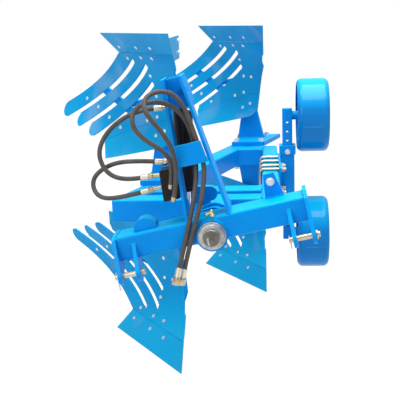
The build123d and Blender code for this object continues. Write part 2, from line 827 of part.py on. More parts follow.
for with_landside in (True, False):
    with BuildPart() as frog:
        add(backing.part)
        loft(post_sections)
        with BuildSketch(landside_plane.offset(-side_inset)):
            with BuildLine():
                Polyline(
                    *side_edge(side_inset + frog_plate, side_heights),
                    (shank_front - 26, side_heights[-1]),
                    (shank_front - 12, 330),
                    (shank_front - 60, frog_side_low),
                    close=True,
                )
            make_face()
        extrude(amount=-frog_plate)
        with BuildSketch(landside_plane.offset(-frog_leg_inset)):
            with BuildLine():
                Polyline(
                    (tip_y + 164, landside_low + 16),
                    *side_edge(frog_leg_inset + frog_plate, leg_heights),
                    (shank_front - 40, leg_heights[-1]),
                    (landside_back - 60, landside_low + 16),
                    close=True,
                )
            make_face()
        extrude(amount=-frog_plate)
        with BuildSketch(Plane(origin=stay_start, z_dir=stay_dir)):
            Circle(stay_diameter / 2)
        extrude(amount=(stay_end - stay_start).length)
        if with_landside:
            with BuildSketch(landside_plane.offset(-landside_inset)):
                with BuildLine():
                    Polyline(
                        (tip_y + 118, landside_low),
                        *landside_edge,
                        (landside_back, landside_high),
                        (landside_back, landside_low),
                        close=True,
                    )
                make_face()
            extrude(amount=-landside_thickness)
            with BuildSketch(landside_plane.offset(-landside_inset)):
                with Locations((landside_back - 115, landside_low + 45)):
                    Rectangle(80, 56)
            extrude(amount=-(frog_leg_inset - landside_inset))
    if with_landside:
        frog_upper = mirror(frog.part, about=axis_plane)
        save(frog_upper, "frog_front_upper")
        save(rear_step * frog.part, "frog_rear_lower")
        save(rear_step * frog_upper, "frog_rear_upper")
    else:
        save(frog.part, "frog_front_lower")
print("frogs drawn")

# --- gauge wheels -------------------------------------------------------------------------
bracket_thickness = column_x - column_side / 2 - side_beam_right
column_plane = Plane.XY.offset(axis_height - column_half)
u_offset = beam / 2 + u_bolt_diameter / 2 + face_gap

with BuildPart() as wheel_bracket:
    with BuildSketch(Plane.YZ.offset(side_beam_right)):
        with Locations((sum(u_bolt_stations) / len(u_bolt_stations), axis_height)):
            RectangleRounded(bracket_length, bracket_height, 8)
    extrude(amount=bracket_thickness)
    with BuildSketch(column_plane):
        with Locations((column_x, column_y)):
            RectangleRounded(column_side, column_side, 6)
    extrude(amount=2 * column_half)
    for end in (axis_height - column_half, axis_height + column_half - collar_height):
        with BuildSketch(Plane.XY.offset(end)):
            with Locations((column_x, column_y)):
                RectangleRounded(collar_side, collar_side, 6)
        extrude(amount=collar_height)
    with BuildSketch(column_plane):
        with Locations((column_x, column_y)):
            Rectangle(leg_side + 2 * leg_clearance, leg_side + 2 * leg_clearance)
    extrude(amount=2 * column_half, mode=Mode.SUBTRACT)
    with BuildSketch(Plane.YZ.offset(side_beam_right)):
        for station in u_bolt_stations:
            with Locations((station, axis_height + u_offset), (station, axis_height - u_offset)):
                Circle(u_bolt_diameter / 2 + face_gap)
    extrude(amount=bracket_thickness, mode=Mode.SUBTRACT)
save(wheel_bracket.part, "wheel_bracket")

bolt_end = side_beam_right + bracket_thickness + 24
bolt_turn = side_beam_left - u_bolt_diameter / 2 - face_gap
with BuildPart() as u_bolts:
    for station in u_bolt_stations:
        with BuildLine() as bent:
            FilletPolyline(
                (bolt_end, station, axis_height + u_offset),
                (bolt_turn, station, axis_height + u_offset),
                (bolt_turn, station, axis_height - u_offset),
                (bolt_end, station, axis_height - u_offset),
                radius=u_bolt_diameter,
            )
        with BuildSketch(Plane(origin=bent.line @ 0, z_dir=bent.line % 0)):
            Circle(u_bolt_diameter / 2)
        sweep(path=bent.line)
save(u_bolts.part, "u_bolts")

axle_start = column_x + leg_side / 2
hub_left = wheel_left + wheel_disc - 6
wheel_right = wheel_left + wheel_width
for side, name in ((-1, "lower"), (1, "upper")):
    wheel_height = axis_height + side * wheel_drop
    with BuildPart() as leg:
        near = axis_height + side * free_gap
        with BuildSketch(Plane.XY.offset(near)):
            with Locations((column_x, column_y)):
                RectangleRounded(leg_side, leg_side, 4)
        extrude(amount=side * (leg_reach - free_gap))
        with BuildSketch(Plane.XZ.offset(-column_y)):
            for step in range(4):
                with Locations((column_x, axis_height + side * (128 + step * leg_hole_pitch))):
                    Circle(leg_hole_diameter / 2)
        extrude(amount=leg_side, both=True, mode=Mode.SUBTRACT)
        for start, end, diameter in (
            (axle_start - 4, hub_left - face_gap, axle_shoulder),
            (hub_left - face_gap, hub_left + wheel_hub_length + face_gap, axle_diameter),
            (hub_left + wheel_hub_length + face_gap, hub_left + wheel_hub_length + 8, axle_shoulder + 8),
        ):
            with BuildSketch(Plane.YZ.offset(start)):
                with Locations((column_y, wheel_height)):
                    Circle(diameter / 2)
            extrude(amount=end - start)
    save(leg.part, f"wheel_leg_{name}")
    with BuildPart() as wheel:
        with BuildSketch(Plane(origin=(0, column_y, wheel_height), x_dir=(1, 0, 0), z_dir=(0, -1, 0))):
            with BuildLine():
                Line((wheel_left, wheel_rim_radius - wheel_wall), (wheel_left, wheel_rim_radius))
                ThreePointArc(
                    (wheel_left, wheel_rim_radius),
                    (wheel_left + wheel_shoulder * 0.36, wheel_radius - 4.5),
                    (wheel_left + wheel_shoulder, wheel_radius),
                )
                Line((wheel_left + wheel_shoulder, wheel_radius), (wheel_right - wheel_shoulder, wheel_radius))
                ThreePointArc(
                    (wheel_right - wheel_shoulder, wheel_radius),
                    (wheel_right - wheel_shoulder * 0.36, wheel_radius - 4.5),
                    (wheel_right, wheel_rim_radius),
                )
                Polyline(
                    (wheel_right, wheel_rim_radius),
                    (wheel_right, wheel_rim_radius - wheel_wall),
                    (wheel_right - wheel_shoulder, wheel_radius - wheel_wall),
                    (wheel_left + wheel_shoulder, wheel_radius - wheel_wall),
                    (wheel_left, wheel_rim_radius - wheel_wall),
                )
            make_face()
            with Locations((wheel_left + wheel_disc, wheel_radius / 2)):
                Rectangle(wheel_wall + 2, wheel_radius - wheel_wall, align=(Align.MIN, Align.CENTER))
            with Locations((hub_left, 0)):
                Rectangle(wheel_hub_length, wheel_hub_diameter / 2, align=(Align.MIN, Align.MIN))
            with Locations((hub_left - 1, 0)):
                Rectangle(
                    wheel_hub_length + 2,
                    axle_diameter / 2 + running_clearance,
                    align=(Align.MIN, Align.MIN),
                    mode=Mode.SUBTRACT,
                )
        revolve(axis=Axis((0, column_y, wheel_height), (1, 0, 0)))
    save(wheel.part, f"wheel_{name}")
print("wheels drawn")

# --- hoses: all four are held by the headstock ---------------------------------------------
# each route is drawn about the turnover axis with the mast upright: sideways, lengthwise, up
routes = {
    "hose_left_upper": (
        (-110, 126, 512), (-178, 122, 522), (-291, 114, 484), (-364, 104, 407),
        (-354, 98, 319), (-293, 100, 272), (-226, 104, 266),
    ),
    "hose_left_lower": (
        (-158, 128, 312), (-257, 132, 338), (-341, 134, 340), (-407, 126, 312),
        (-421, 104, 268), (-394, 82, 226), (-326, 80, 212), (-237, 92, 212),
    ),
    "hose_feed_right": (
        (-106, 34, 177), (-75, 30, 247), (-59, 6, 361), (-81, -34, 443), (-112, -50, 507),
        (-121, -26, 547), (-103, 8, 575), (-59, 42, 578), (-13, 54, 555), (16, 58, 489),
        (26, 64, 378), (35, 66, 273), (12, 34, 186), (-29, 8, 98), (-84, 9, -2), (-133, 20, -103),
    ),
    "hose_feed_left": (
        (-107, 46, 225), (-92, 44, 272), (-82, 34, 322), (-111, 16, 374), (-158, 2, 423),
        (-186, 6, 473), (-179, 22, 521), (-143, 40, 546), (-87, 54, 543), (-34, 64, 516),
        (3, 80, 455), (12, 92, 377), (5, 84, 289), (-13, 50, 208), (-43, 18, 131),
        (-100, 15, 8), (-149, 2, -90),
    ),
}
for name, route in routes.items():
    route = [Vector(point) for point in route]
    runs = [end - start for start, end in zip(route, route[1:])]
    radii = []
    for before, after in zip(runs, runs[1:]):
        turn = radians(before.get_angle(after))
        radii.append(0.45 * min(before.length, after.length) / tan(turn / 2))
    with BuildLine():
        middle_line = FilletPolyline(*route, radius=radii)
    with BuildPart() as hose:
        with BuildSketch(Plane(origin=route[0], z_dir=runs[0])):
            Circle(hose_diameter / 2)
        sweep(path=middle_line)
    save_on_head(hose.part, name)
    section = hose_diameter**2 * pi / 4
    print(
        f"{name}: length {middle_line.length:.0f}, volume {hose.part.volume:.0f}"
        f" of {section * middle_line.length:.0f}, radii {[round(radius) for radius in radii]}"
    )

# each end carries a ferrule and what follows it, as diameters and lengths away from the hose
for node, fittings in (
    (
        "hose_ports",
        (
            ("hose_left_upper", 0, 1, ((ferrule_diameter, 32), (16, 21))),
            ("hose_left_upper", -1, -2, ((ferrule_diameter, 32), (27, 18), (17, 29))),
            ("hose_left_lower", 0, 1, ((ferrule_diameter, 32), (27, 16), (16, 38))),
            ("hose_left_lower", -1, -2, ((ferrule_diameter, 32), (27, 18), (17, 34))),
        ),
    ),
    (
        "hose_couplers",
        (
            ("hose_feed_right", -1, -2, ((ferrule_diameter, 38), (20, 4), (31, 28))),
            ("hose_feed_left", -1, -2, ((ferrule_diameter, 38), (20, 4), (31, 28))),
        ),
    ),
):
    with BuildPart() as fitting:
        for name, end, inner, steps in fittings:
            place = Vector(routes[name][end])
            away = (place - Vector(routes[name][inner])).normalized()
            for diameter, length in steps:
                with BuildSketch(Plane(origin=place, z_dir=away)):
                    if diameter > ferrule_diameter:
                        RegularPolygon(diameter / 2, 6)
                    else:
                        Circle(diameter / 2)
                extrude(amount=length)
                place = place + away * length
        if node == "hose_ports":
            for name in ("hose_feed_right", "hose_feed_left"):
                place = Vector(routes[name][0])
                away = (place - Vector(routes[name][1])).normalized()
                with BuildSketch(Plane(origin=place, z_dir=away)):
                    Circle(hose_diameter / 2 + 1)
                extrude(amount=12)
                with Locations(place + away * 12):
                    Sphere(hose_diameter / 2 + 1)
                with BuildSketch(Plane(origin=place + away * 12, z_dir=(0, 1, 0))):
                    Circle(hose_diameter / 2)
                extrude(amount=valve_front - place.Y - away.Y * 12)
    save_on_head(fitting.part, node)
print("hoses drawn")

# --- place the origin below the middle of the whole plough and write the pieces ------------
boxes = [piece.bounding_box() for name, piece in finished.items() if not name.startswith("hose_")]
middle_x = (min(box.min.X for box in boxes) + max(box.max.X for box in boxes)) / 2
middle_y = (min(box.min.Y for box in boxes) + max(box.max.Y for box in boxes)) / 2
for name, piece in finished.items():
    moved = Location((-middle_x, -middle_y, 0)) * piece
    moved.label = name
    export_step(moved, f"parts/{name}.step")
print(f"{len(finished)} pieces written, turnover axis at x {-middle_x:.3f}, hitch pins at y {-middle_y:.3f}")
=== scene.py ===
import bmesh
import bpy
import json
import math
import numpy as np
from mathutils import Matrix, Vector


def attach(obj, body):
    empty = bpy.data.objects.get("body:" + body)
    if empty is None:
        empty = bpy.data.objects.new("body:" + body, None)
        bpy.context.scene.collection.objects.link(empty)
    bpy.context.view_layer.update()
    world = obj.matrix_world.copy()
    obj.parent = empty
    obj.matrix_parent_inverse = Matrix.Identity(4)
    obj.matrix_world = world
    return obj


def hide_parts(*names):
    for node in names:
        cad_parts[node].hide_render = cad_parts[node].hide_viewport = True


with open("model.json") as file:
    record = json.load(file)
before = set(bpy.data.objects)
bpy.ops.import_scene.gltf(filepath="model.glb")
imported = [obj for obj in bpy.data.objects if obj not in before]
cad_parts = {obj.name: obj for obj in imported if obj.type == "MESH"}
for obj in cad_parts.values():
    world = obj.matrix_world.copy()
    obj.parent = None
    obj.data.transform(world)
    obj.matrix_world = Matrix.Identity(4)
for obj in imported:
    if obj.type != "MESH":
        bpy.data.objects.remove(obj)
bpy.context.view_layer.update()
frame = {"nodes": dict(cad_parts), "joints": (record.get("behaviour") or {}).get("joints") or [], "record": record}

nodes = frame["nodes"]
record = frame["record"]
turnover = next(joint for joint in frame["joints"] if joint["name"] == "turnover")
leftHitch = next(mount for mount in record["mounts"] if mount["name"] == "lower_link_left")
axisX, axisZ = turnover["pos_m"][0], turnover["pos_m"][2]
hitchY = leftHitch["pos_m"][1]
headLean = math.radians(12.1)
bodyNames = ("front_lower", "front_upper", "rear_lower", "rear_upper")


def ploughPlace(points):
    # millimetres about the turnover axis and the hitch pins, heights from the ground, to the row frame
    points = np.asarray(points, float) / 1000
    return points + np.array([axisX, hitchY, 0.0])


def headPlace(points):
    # sideways, lengthwise and up along the leaning mast, in millimetres, to the row frame
    points = np.asarray(points, float)
    side, along, rise = points[..., 0], points[..., 1], points[..., 2]
    leaned = np.stack([
        side * math.cos(headLean) - rise * math.sin(headLean),
        along,
        axisZ * 1000 + side * math.sin(headLean) + rise * math.cos(headLean),
    ], axis=-1)
    return ploughPlace(leaned)


# the camera stands to the right of the turnover axis and well in front of the hitch pins
viewpoint = {
    "aside": 0.216, "ahead": 2.914, "height": 1.582, "lens": 72.18, "down": 13.2, "left": 5.0, "roll": -1.936,
}


def aimCamera():
    down, left, roll = (math.radians(viewpoint[key]) for key in ("down", "left", "roll"))
    forward = Vector((-math.sin(left) * math.cos(down), math.cos(left) * math.cos(down), -math.sin(down)))
    right = Vector((math.cos(left), math.sin(left), 0))
    up = right.cross(forward)
    tiltedRight = right * math.cos(roll) + up * math.sin(roll)
    tiltedUp = tiltedRight.cross(forward)
    camera = bpy.data.objects.new("camera", bpy.data.cameras.new("camera"))
    camera.data.lens = viewpoint["lens"]
    camera.data.sensor_width = 36
    camera.data.clip_end = 60
    place = (axisX + viewpoint["aside"], hitchY - viewpoint["ahead"], viewpoint["height"])
    columns = (tiltedRight, tiltedUp, -forward)
    camera.matrix_world = Matrix.Translation(place) @ Matrix(
        [[column[row] for column in columns] for row in range(3)]
    ).to_4x4()
    bpy.context.collection.objects.link(camera)
    bpy.context.scene.camera = camera


aimCamera()
print("camera placed")


def newGroup(name, inputs, outputs):
    # a shader group with named inputs and outputs
    group = bpy.data.node_groups.new(name, "ShaderNodeTree")
    for label, kind, value in inputs:
        socket = group.interface.new_socket(name=label, in_out="INPUT", socket_type=kind)
        socket.default_value = value
    for label, kind in outputs:
        group.interface.new_socket(name=label, in_out="OUTPUT", socket_type=kind)
    return group, group.nodes.new("NodeGroupInput"), group.nodes.new("NodeGroupOutput")


def addNode(tree, kind, values=None, **settings):
    node = tree.nodes.new(kind)
    for key, value in settings.items():
        setattr(node, key, value)
    for key, value in (values or {}).items():
        node.inputs[key].default_value = value
    return node


def addMath(tree, operation, first, second):
    # one arithmetic step; each side is a socket or a number
    node = addNode(tree, "ShaderNodeMath", operation=operation)
    for slotIndex, side in enumerate((first, second)):
        if isinstance(side, (int, float)):
            node.inputs[slotIndex].default_value = side
        else:
            tree.links.new(side, node.inputs[slotIndex])
    return node.outputs[0]


def addMix(tree, factor, first, second):
    # colours blended by a factor
    node = addNode(tree, "ShaderNodeMix", data_type="RGBA")
    for slotIndex, side in ((0, factor), (6, first), (7, second)):
        if isinstance(side, (int, float, tuple)):
            node.inputs[slotIndex].default_value = side
        else:
            tree.links.new(side, node.inputs[slotIndex])
    return node.outputs[2]


def spread(tree, value, low, high, toLow=0.0, toHigh=1.0):
    # a value stretched from one range to another and held inside it
    limits = {"From Min": low, "From Max": high, "To Min": toLow, "To Max": toHigh}
    node = addNode(tree, "ShaderNodeMapRange", limits)
    tree.links.new(value, node.inputs["Value"])
    return node.outputs["Result"]


def noiseValue(tree, place, scale, detail=3.0, rough=0.5, warp=0.0):
    settings = {"Scale": scale, "Detail": detail, "Roughness": rough, "Distortion": warp}
    node = addNode(tree, "ShaderNodeTexNoise", settings)
    tree.links.new(place, node.inputs["Vector"])
    return node.outputs["Fac"]


def makeEdgeGroup():
    # edge: how far the rounded normal leaves the flat one, which is near the edges of plates and bars only
    outputs = (("Edge", "NodeSocketFloat"), ("Normal", "NodeSocketVector"))
    group, _, output = newGroup("plateEdge", (), outputs)
    rounded = addNode(group, "ShaderNodeBevel", {"Radius": 0.0026}, samples=6)
    flat = addNode(group, "ShaderNodeNewGeometry")
    dot = addNode(group, "ShaderNodeVectorMath", operation="DOT_PRODUCT")
    group.links.new(rounded.outputs[0], dot.inputs[0])
    group.links.new(flat.outputs["Normal"], dot.inputs[1])
    edge = spread(group, dot.outputs["Value"], 0.995, 0.86)
    group.links.new(edge, output.inputs["Edge"])
    group.links.new(rounded.outputs[0], output.inputs["Normal"])
    return group


def makeDustAndLightGroup():
    # dust: two noises multiplied, stronger on faces that look up; top light: faces that look up, a mask for
    # painted top light; patches: a broad noise above its middle, a mask for painted reflection
    group, source, output = newGroup(
        "settledDust",
        (("Amount", "NodeSocketFloat", 0.3), ("Scale", "NodeSocketFloat", 6.0)),
        (
            ("Dust", "NodeSocketFloat"), ("Mottle", "NodeSocketFloat"), ("Fine", "NodeSocketFloat"),
            ("Upward", "NodeSocketFloat"), ("Patches", "NodeSocketFloat"),
        ),
    )
    place = addNode(group, "ShaderNodeTexCoord").outputs["Object"]
    patches = addNode(group, "ShaderNodeTexNoise", {"Detail": 4.0, "Roughness": 0.6})
    group.links.new(place, patches.inputs["Vector"])
    group.links.new(source.outputs["Scale"], patches.inputs["Scale"])
    fine = noiseValue(group, place, 260.0, 2.0)
    facing = addNode(group, "ShaderNodeSeparateXYZ")
    group.links.new(addNode(group, "ShaderNodeNewGeometry").outputs["Normal"], facing.inputs[0])
    upward = spread(group, facing.outputs["Z"], -0.2, 1.0, 0.25, 1.0)
    mottle = spread(group, patches.outputs["Fac"], 0.35, 0.7)
    settled = addMath(group, "MULTIPLY", mottle, upward)
    dust = addMath(group, "MULTIPLY", settled, spread(group, fine, 0.3, 0.75))
    group.links.new(addMath(group, "MULTIPLY", dust, source.outputs["Amount"]), output.inputs["Dust"])
    group.links.new(mottle, output.inputs["Mottle"])
    group.links.new(fine, output.inputs["Fine"])
    group.links.new(spread(group, facing.outputs["Z"], 0.25, 0.95), output.inputs["Upward"])
    pools = noiseValue(group, place, 3.4, 1.0, 0.4, 1.2)
    group.links.new(spread(group, pools, 0.56, 0.72), output.inputs["Patches"])
    return group


edgeGroup = makeEdgeGroup()
dustAndLightGroup = makeDustAndLightGroup()


def startMaterial(name, **sockets):
    material = bpy.data.materials.new(name)
    material.use_nodes = True
    tree = material.node_tree
    shader = tree.nodes["Principled BSDF"]
    for key, value in sockets.items():
        shader.inputs[key].default_value = value
    return material, tree, shader


def useGroup(tree, group, **values):
    node = addNode(tree, "ShaderNodeGroup", node_tree=group)
    for key, value in values.items():
        node.inputs[key].default_value = value
    return node


def bumpInto(tree, shader, height, strength, distance, normal=None):
    bump = addNode(tree, "ShaderNodeBump", {"Strength": strength, "Distance": distance})
    tree.links.new(height, bump.inputs["Height"])
    if normal is not None:
        tree.links.new(normal, bump.inputs["Normal"])
    tree.links.new(bump.outputs[0], shader.inputs["Normal"])


# in each paint the edge colour is a painted highlight along edges, the paler upward colour is painted top light,
# and the patch amount paints soft pale patches of reflection in the dust colour
framePaint = {
    "color": (0.0, 0.275, 0.78, 1), "deep": (0.0, 0.225, 0.68, 1), "edge": (0.02, 0.46, 0.90, 1),
    "sunny": (0.0, 0.43, 0.80, 1), "dust": (0.20, 0.44, 0.62, 1), "dustAmount": 0.08, "mottle": 5.0,
    "rough": 0.30, "peel": 0.05, "sheen": 0.0, "coat": 0.02,
}
boardPaint = {
    "color": (0.0, 0.31, 0.66, 1), "deep": (0.002, 0.245, 0.54, 1), "edge": (0.02, 0.42, 0.80, 1),
    "sunny": (0.004, 0.43, 0.72, 1), "dust": (0.20, 0.36, 0.60, 1), "dustAmount": 0.08, "mottle": 4.0,
    "rough": 0.34, "peel": 0.04, "sheen": 0.42, "coat": 0.02,
}


def makePaint(name, finish):
    # gloss paint: base colour drifting to a deeper one, paler on faces that look up as painted top light, pale
    # soft patches of painted reflection, a painted highlight along edges, dust on top, orange peel in the bump
    gloss = {"Specular IOR Level": 0.06, "Coat Weight": finish["coat"], "Coat Roughness": 0.05}
    material, tree, shader = startMaterial(name, **gloss)
    edge = useGroup(tree, edgeGroup)
    dustAndLight = useGroup(tree, dustAndLightGroup, Amount=finish["dustAmount"], Scale=finish["mottle"])
    drift = addMix(tree, dustAndLight.outputs["Mottle"], finish["color"], finish["deep"])
    # painted top light: faces that look up turn to the paler colour
    tone = addMix(tree, dustAndLight.outputs["Upward"], drift, finish["sunny"])
    if finish["sheen"]:
        # painted reflection: pale soft patches in the dust colour
        patches = addMath(tree, "MULTIPLY", dustAndLight.outputs["Patches"], finish["sheen"])
        tone = addMix(tree, patches, tone, finish["dust"])
    # painted highlight: lighter along edges
    edgeHighlighted = addMix(tree, addMath(tree, "MULTIPLY", edge.outputs["Edge"], 0.55), tone, finish["edge"])
    dusty = addMix(tree, dustAndLight.outputs["Dust"], edgeHighlighted, finish["dust"])
    tree.links.new(dusty, shader.inputs["Base Color"])
    rough = addMath(tree, "ADD", addMath(tree, "MULTIPLY", dustAndLight.outputs["Mottle"], 0.10), finish["rough"])
    dusted = addMath(tree, "MULTIPLY", dustAndLight.outputs["Dust"], 0.6)
    tree.links.new(addMath(tree, "ADD", rough, dusted), shader.inputs["Roughness"])
    place = addNode(tree, "ShaderNodeTexCoord").outputs["Object"]
    peel = noiseValue(tree, place, 140.0, 1.0)
    bumpInto(tree, shader, peel, finish["peel"], 0.002, edge.outputs["Normal"])
    return material


zincFinish = {"color": (0.60, 0.56, 0.46, 1), "stain": (0.58, 0.45, 0.24, 1), "rough": 0.34}
steelFinish = {"color": (0.50, 0.51, 0.52, 1), "stain": (0.30, 0.29, 0.27, 1), "rough": 0.42}
boltFinish = {"color": (0.78, 0.80, 0.84, 1), "stain": (0.55, 0.58, 0.64, 1), "rough": 0.40}
chromeFinish = {"color": (0.82, 0.83, 0.85, 1), "stain": (0.72, 0.73, 0.75, 1), "rough": 0.12}


def makePlate(name, finish, metallic=1.0, grain=90.0):
    # plated or bare metal: colour drifts to a stain in patches, fine scratches lift the roughness
    material, tree, shader = startMaterial(name, **{"Metallic": metallic})
    edge = useGroup(tree, edgeGroup)
    place = addNode(tree, "ShaderNodeTexCoord").outputs["Object"]
    patches = spread(tree, noiseValue(tree, place, 28.0, 4.0, 0.6), 0.38, 0.68)
    scratch = noiseValue(tree, place, grain * 6, 2.0, 0.6, 0.4)
    tree.links.new(addMix(tree, patches, finish["color"], finish["stain"]), shader.inputs["Base Color"])
    rough = addMath(tree, "ADD", addMath(tree, "MULTIPLY", scratch, 0.22), finish["rough"] - 0.08)
    tree.links.new(rough, shader.inputs["Roughness"])
    bumpInto(tree, shader, scratch, 0.06, 0.001, edge.outputs["Normal"])
    return material


# the paler edge and upward colours of the black are a painted highlight and painted top light
blackFinish = {
    "color": (0.020, 0.021, 0.024, 1), "deep": (0.010, 0.010, 0.012, 1), "edge": (0.05, 0.05, 0.055, 1),
    "sunny": (0.05, 0.05, 0.055, 1), "dust": (0.20, 0.19, 0.18, 1), "dustAmount": 0.20, "mottle": 9.0,
    "rough": 0.36, "peel": 0.08, "sheen": 0.0, "coat": 0.02,
}
hoseFinish = {
    "color": (0.060, 0.054, 0.050, 1), "worn": (0.12, 0.105, 0.092, 1), "dust": (0.30, 0.27, 0.24, 1),
    "rough": 0.62, "wrap": 900.0,
}


def makeRubber(name, finish):
    # hose cover: a fine cloth-wrap ripple around the hose in the bump, worn to a lighter brown in patches
    material, tree, shader = startMaterial(name, **{"Specular IOR Level": 0.35})
    dustAndLight = useGroup(tree, dustAndLightGroup, Amount=0.35, Scale=14.0)
    place = addNode(tree, "ShaderNodeTexCoord").outputs["Object"]
    worn = spread(tree, noiseValue(tree, place, 32.0, 5.0, 0.65), 0.42, 0.7)
    tone = addMix(tree, addMath(tree, "MULTIPLY", worn, 0.6), finish["color"], finish["worn"])
    dusty = addMix(tree, dustAndLight.outputs["Dust"], tone, finish["dust"])
    tree.links.new(dusty, shader.inputs["Base Color"])
    rough = addMath(tree, "ADD", addMath(tree, "MULTIPLY", worn, 0.14), finish["rough"])
    tree.links.new(rough, shader.inputs["Roughness"])
    cloth = noiseValue(tree, place, finish["wrap"], 1.0)
    bumpInto(tree, shader, cloth, 0.25, 0.0006)
    return material


paints = {
    "blue_paint": makePaint("framePaint", framePaint),
    "moldboard_paint": makePaint("boardPaint", boardPaint),
    "zinc_plate": makePlate("yellowZinc", zincFinish),
    "bare_steel": makePlate("turnedSteel", steelFinish),
    "chromed_rod": makePlate("chromedRod", chromeFinish),
    "black_paint": makePaint("blackPaint", blackFinish),
    "hose_rubber": makeRubber("hoseRubber", hoseFinish),
}
boltMetal = makePlate("platedBolt", boltFinish, 0.75)
for subpart in record["subparts"]:
    slots = nodes[subpart["node"]].material_slots
    for materialSlot in slots:
        materialSlot.material = paints[subpart["material_slot"]]
print("materials made")

# each hose's route is sideways, lengthwise and up on the leaning mast, in metres
hoses = {
    "hose_left_upper": {"length": 0.515, "far": "object", "lay": "taut", "route": (
        (-0.110, 0.126, 0.512), (-0.178, 0.122, 0.522), (-0.291, 0.114, 0.484), (-0.364, 0.104, 0.407),
        (-0.354, 0.098, 0.319), (-0.293, 0.100, 0.272), (-0.226, 0.104, 0.266))},
    "hose_left_lower": {"length": 0.513, "far": "object", "lay": "taut", "route": (
        (-0.158, 0.128, 0.312), (-0.257, 0.132, 0.338), (-0.341, 0.134, 0.340), (-0.407, 0.126, 0.312),
        (-0.421, 0.104, 0.268), (-0.394, 0.082, 0.226), (-0.326, 0.080, 0.212), (-0.237, 0.092, 0.212))},
    "hose_feed_right": {"length": 1.262, "far": "connector", "lay": "hanging", "route": (
        (-0.106, 0.034, 0.177), (-0.075, 0.030, 0.247), (-0.059, 0.006, 0.361), (-0.081, -0.034, 0.443),
        (-0.112, -0.050, 0.507), (-0.121, -0.026, 0.547), (-0.103, 0.008, 0.575), (-0.059, 0.042, 0.578),
        (-0.013, 0.054, 0.555), (0.016, 0.058, 0.489), (0.026, 0.064, 0.378), (0.035, 0.066, 0.273),
        (0.012, 0.034, 0.186), (-0.029, 0.008, 0.098), (-0.084, 0.009, -0.002), (-0.133, 0.020, -0.103))},
    "hose_feed_left": {"length": 1.158, "far": "connector", "lay": "hanging", "route": (
        (-0.107, 0.046, 0.225), (-0.092, 0.044, 0.272), (-0.082, 0.034, 0.322), (-0.111, 0.016, 0.374),
        (-0.158, 0.002, 0.423), (-0.186, 0.006, 0.473), (-0.179, 0.022, 0.521), (-0.143, 0.040, 0.546),
        (-0.087, 0.054, 0.543), (-0.034, 0.064, 0.516), (0.003, 0.080, 0.455), (0.012, 0.092, 0.377),
        (0.005, 0.084, 0.289), (-0.013, 0.050, 0.208), (-0.043, 0.018, 0.131), (-0.100, 0.015, 0.008),
        (-0.149, 0.002, -0.090))},
}
hoseDiameter = 0.018


def layHose(name, hose):
    points = headPlace(np.array(hose["route"]) * 1000)
    curve = bpy.data.curves.new(name + "_line", "CURVE")
    curve.dimensions = "3D"
    spline = curve.splines.new("NURBS")
    spline.points.add(len(points) - 1)
    spline.points.foreach_set("co", np.c_[points, np.ones(len(points))].ravel())
    spline.order_u = 3
    spline.use_endpoint_u = True
    spline.resolution_u = 8
    curve.bevel_depth = hoseDiameter / 2
    curve.bevel_resolution = 6
    curve.use_fill_caps = True
    piece = bpy.data.objects.new(name.replace("_", "-"), curve)
    bpy.context.collection.objects.link(piece)
    curve.materials.append(paints["hose_rubber"])
    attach(piece, "headstock")
    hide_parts(name)
    return piece, points


laidHoses = {name: layHose(name, hose) for name, hose in hoses.items()}
print("hoses laid")


# every new shape is a pair: its points in millimetres and arrays of faces with equal corner counts
def turned(profile, sides=20, hexTurn=0.0):
    # a profile of radius and height turned about Z: radius times cosine and sine of the angle, with flat ends
    radius, height = np.array(profile, float).T
    angle = hexTurn + np.arange(sides) * 2 * math.pi / sides
    flatAcross = radius[:, None] * np.cos(angle), radius[:, None] * np.sin(angle)
    rings = np.stack([*flatAcross, np.repeat(height[:, None], sides, axis=1)], axis=-1)
    return slab(rings)


def ringQuads(rings, corners, closed=False):
    # faces between each ring of corners and the next, and from the last back to the first where it is closed
    ring, side = np.meshgrid(np.arange(rings if closed else rings - 1), np.arange(corners), indexing="ij")
    nextRing, nextSide = (ring + 1) % rings, (side + 1) % corners
    quads = [ring * corners + side, ring * corners + nextSide]
    quads += [nextRing * corners + nextSide, nextRing * corners + side]
    return np.stack(quads, axis=-1).reshape(-1, 4)


def slab(sections):
    # closed block through sections with equal corner counts: rings joined in turn, a flat face at each end
    sections = np.asarray(sections, float)
    count, corners = sections.shape[:2]
    caps = np.stack([np.arange(corners)[::-1], (count - 1) * corners + np.arange(corners)])
    return sections.reshape(-1, 3), [ringQuads(count, corners), caps]


def framesAlong(directions):
    # three axes for each direction, the direction last: cross products with a helper that isn't parallel
    axis = directions / np.linalg.norm(directions, axis=1, keepdims=True)
    helper = np.where(np.abs(axis[:, 2:]) < 0.9, [[0.0, 0.0, 1.0]], [[1.0, 0.0, 0.0]])
    first = np.cross(helper, axis)
    first /= np.linalg.norm(first, axis=1, keepdims=True)
    return np.stack([first, np.cross(axis, first), axis], axis=1)


def placeCopies(shape, places, directions):
    # copies of a shape, its height along each direction and its foot at each place
    points, faceSets = shape
    places, directions = np.atleast_2d(places).astype(float), np.atleast_2d(directions).astype(float)
    moved = places[:, None] + points[None] @ framesAlong(directions)
    shift = np.arange(len(places))[:, None, None] * len(points)
    return moved.reshape(-1, 3), [(faces[None] + shift).reshape(-1, faces.shape[1]) for faces in faceSets]


def joinShapes(shapes):
    starts = np.cumsum([0] + [len(points) for points, _ in shapes])
    faceSets = [faces + start for (_, sets), start in zip(shapes, starts) for faces in sets]
    return np.concatenate([points for points, _ in shapes]), faceSets


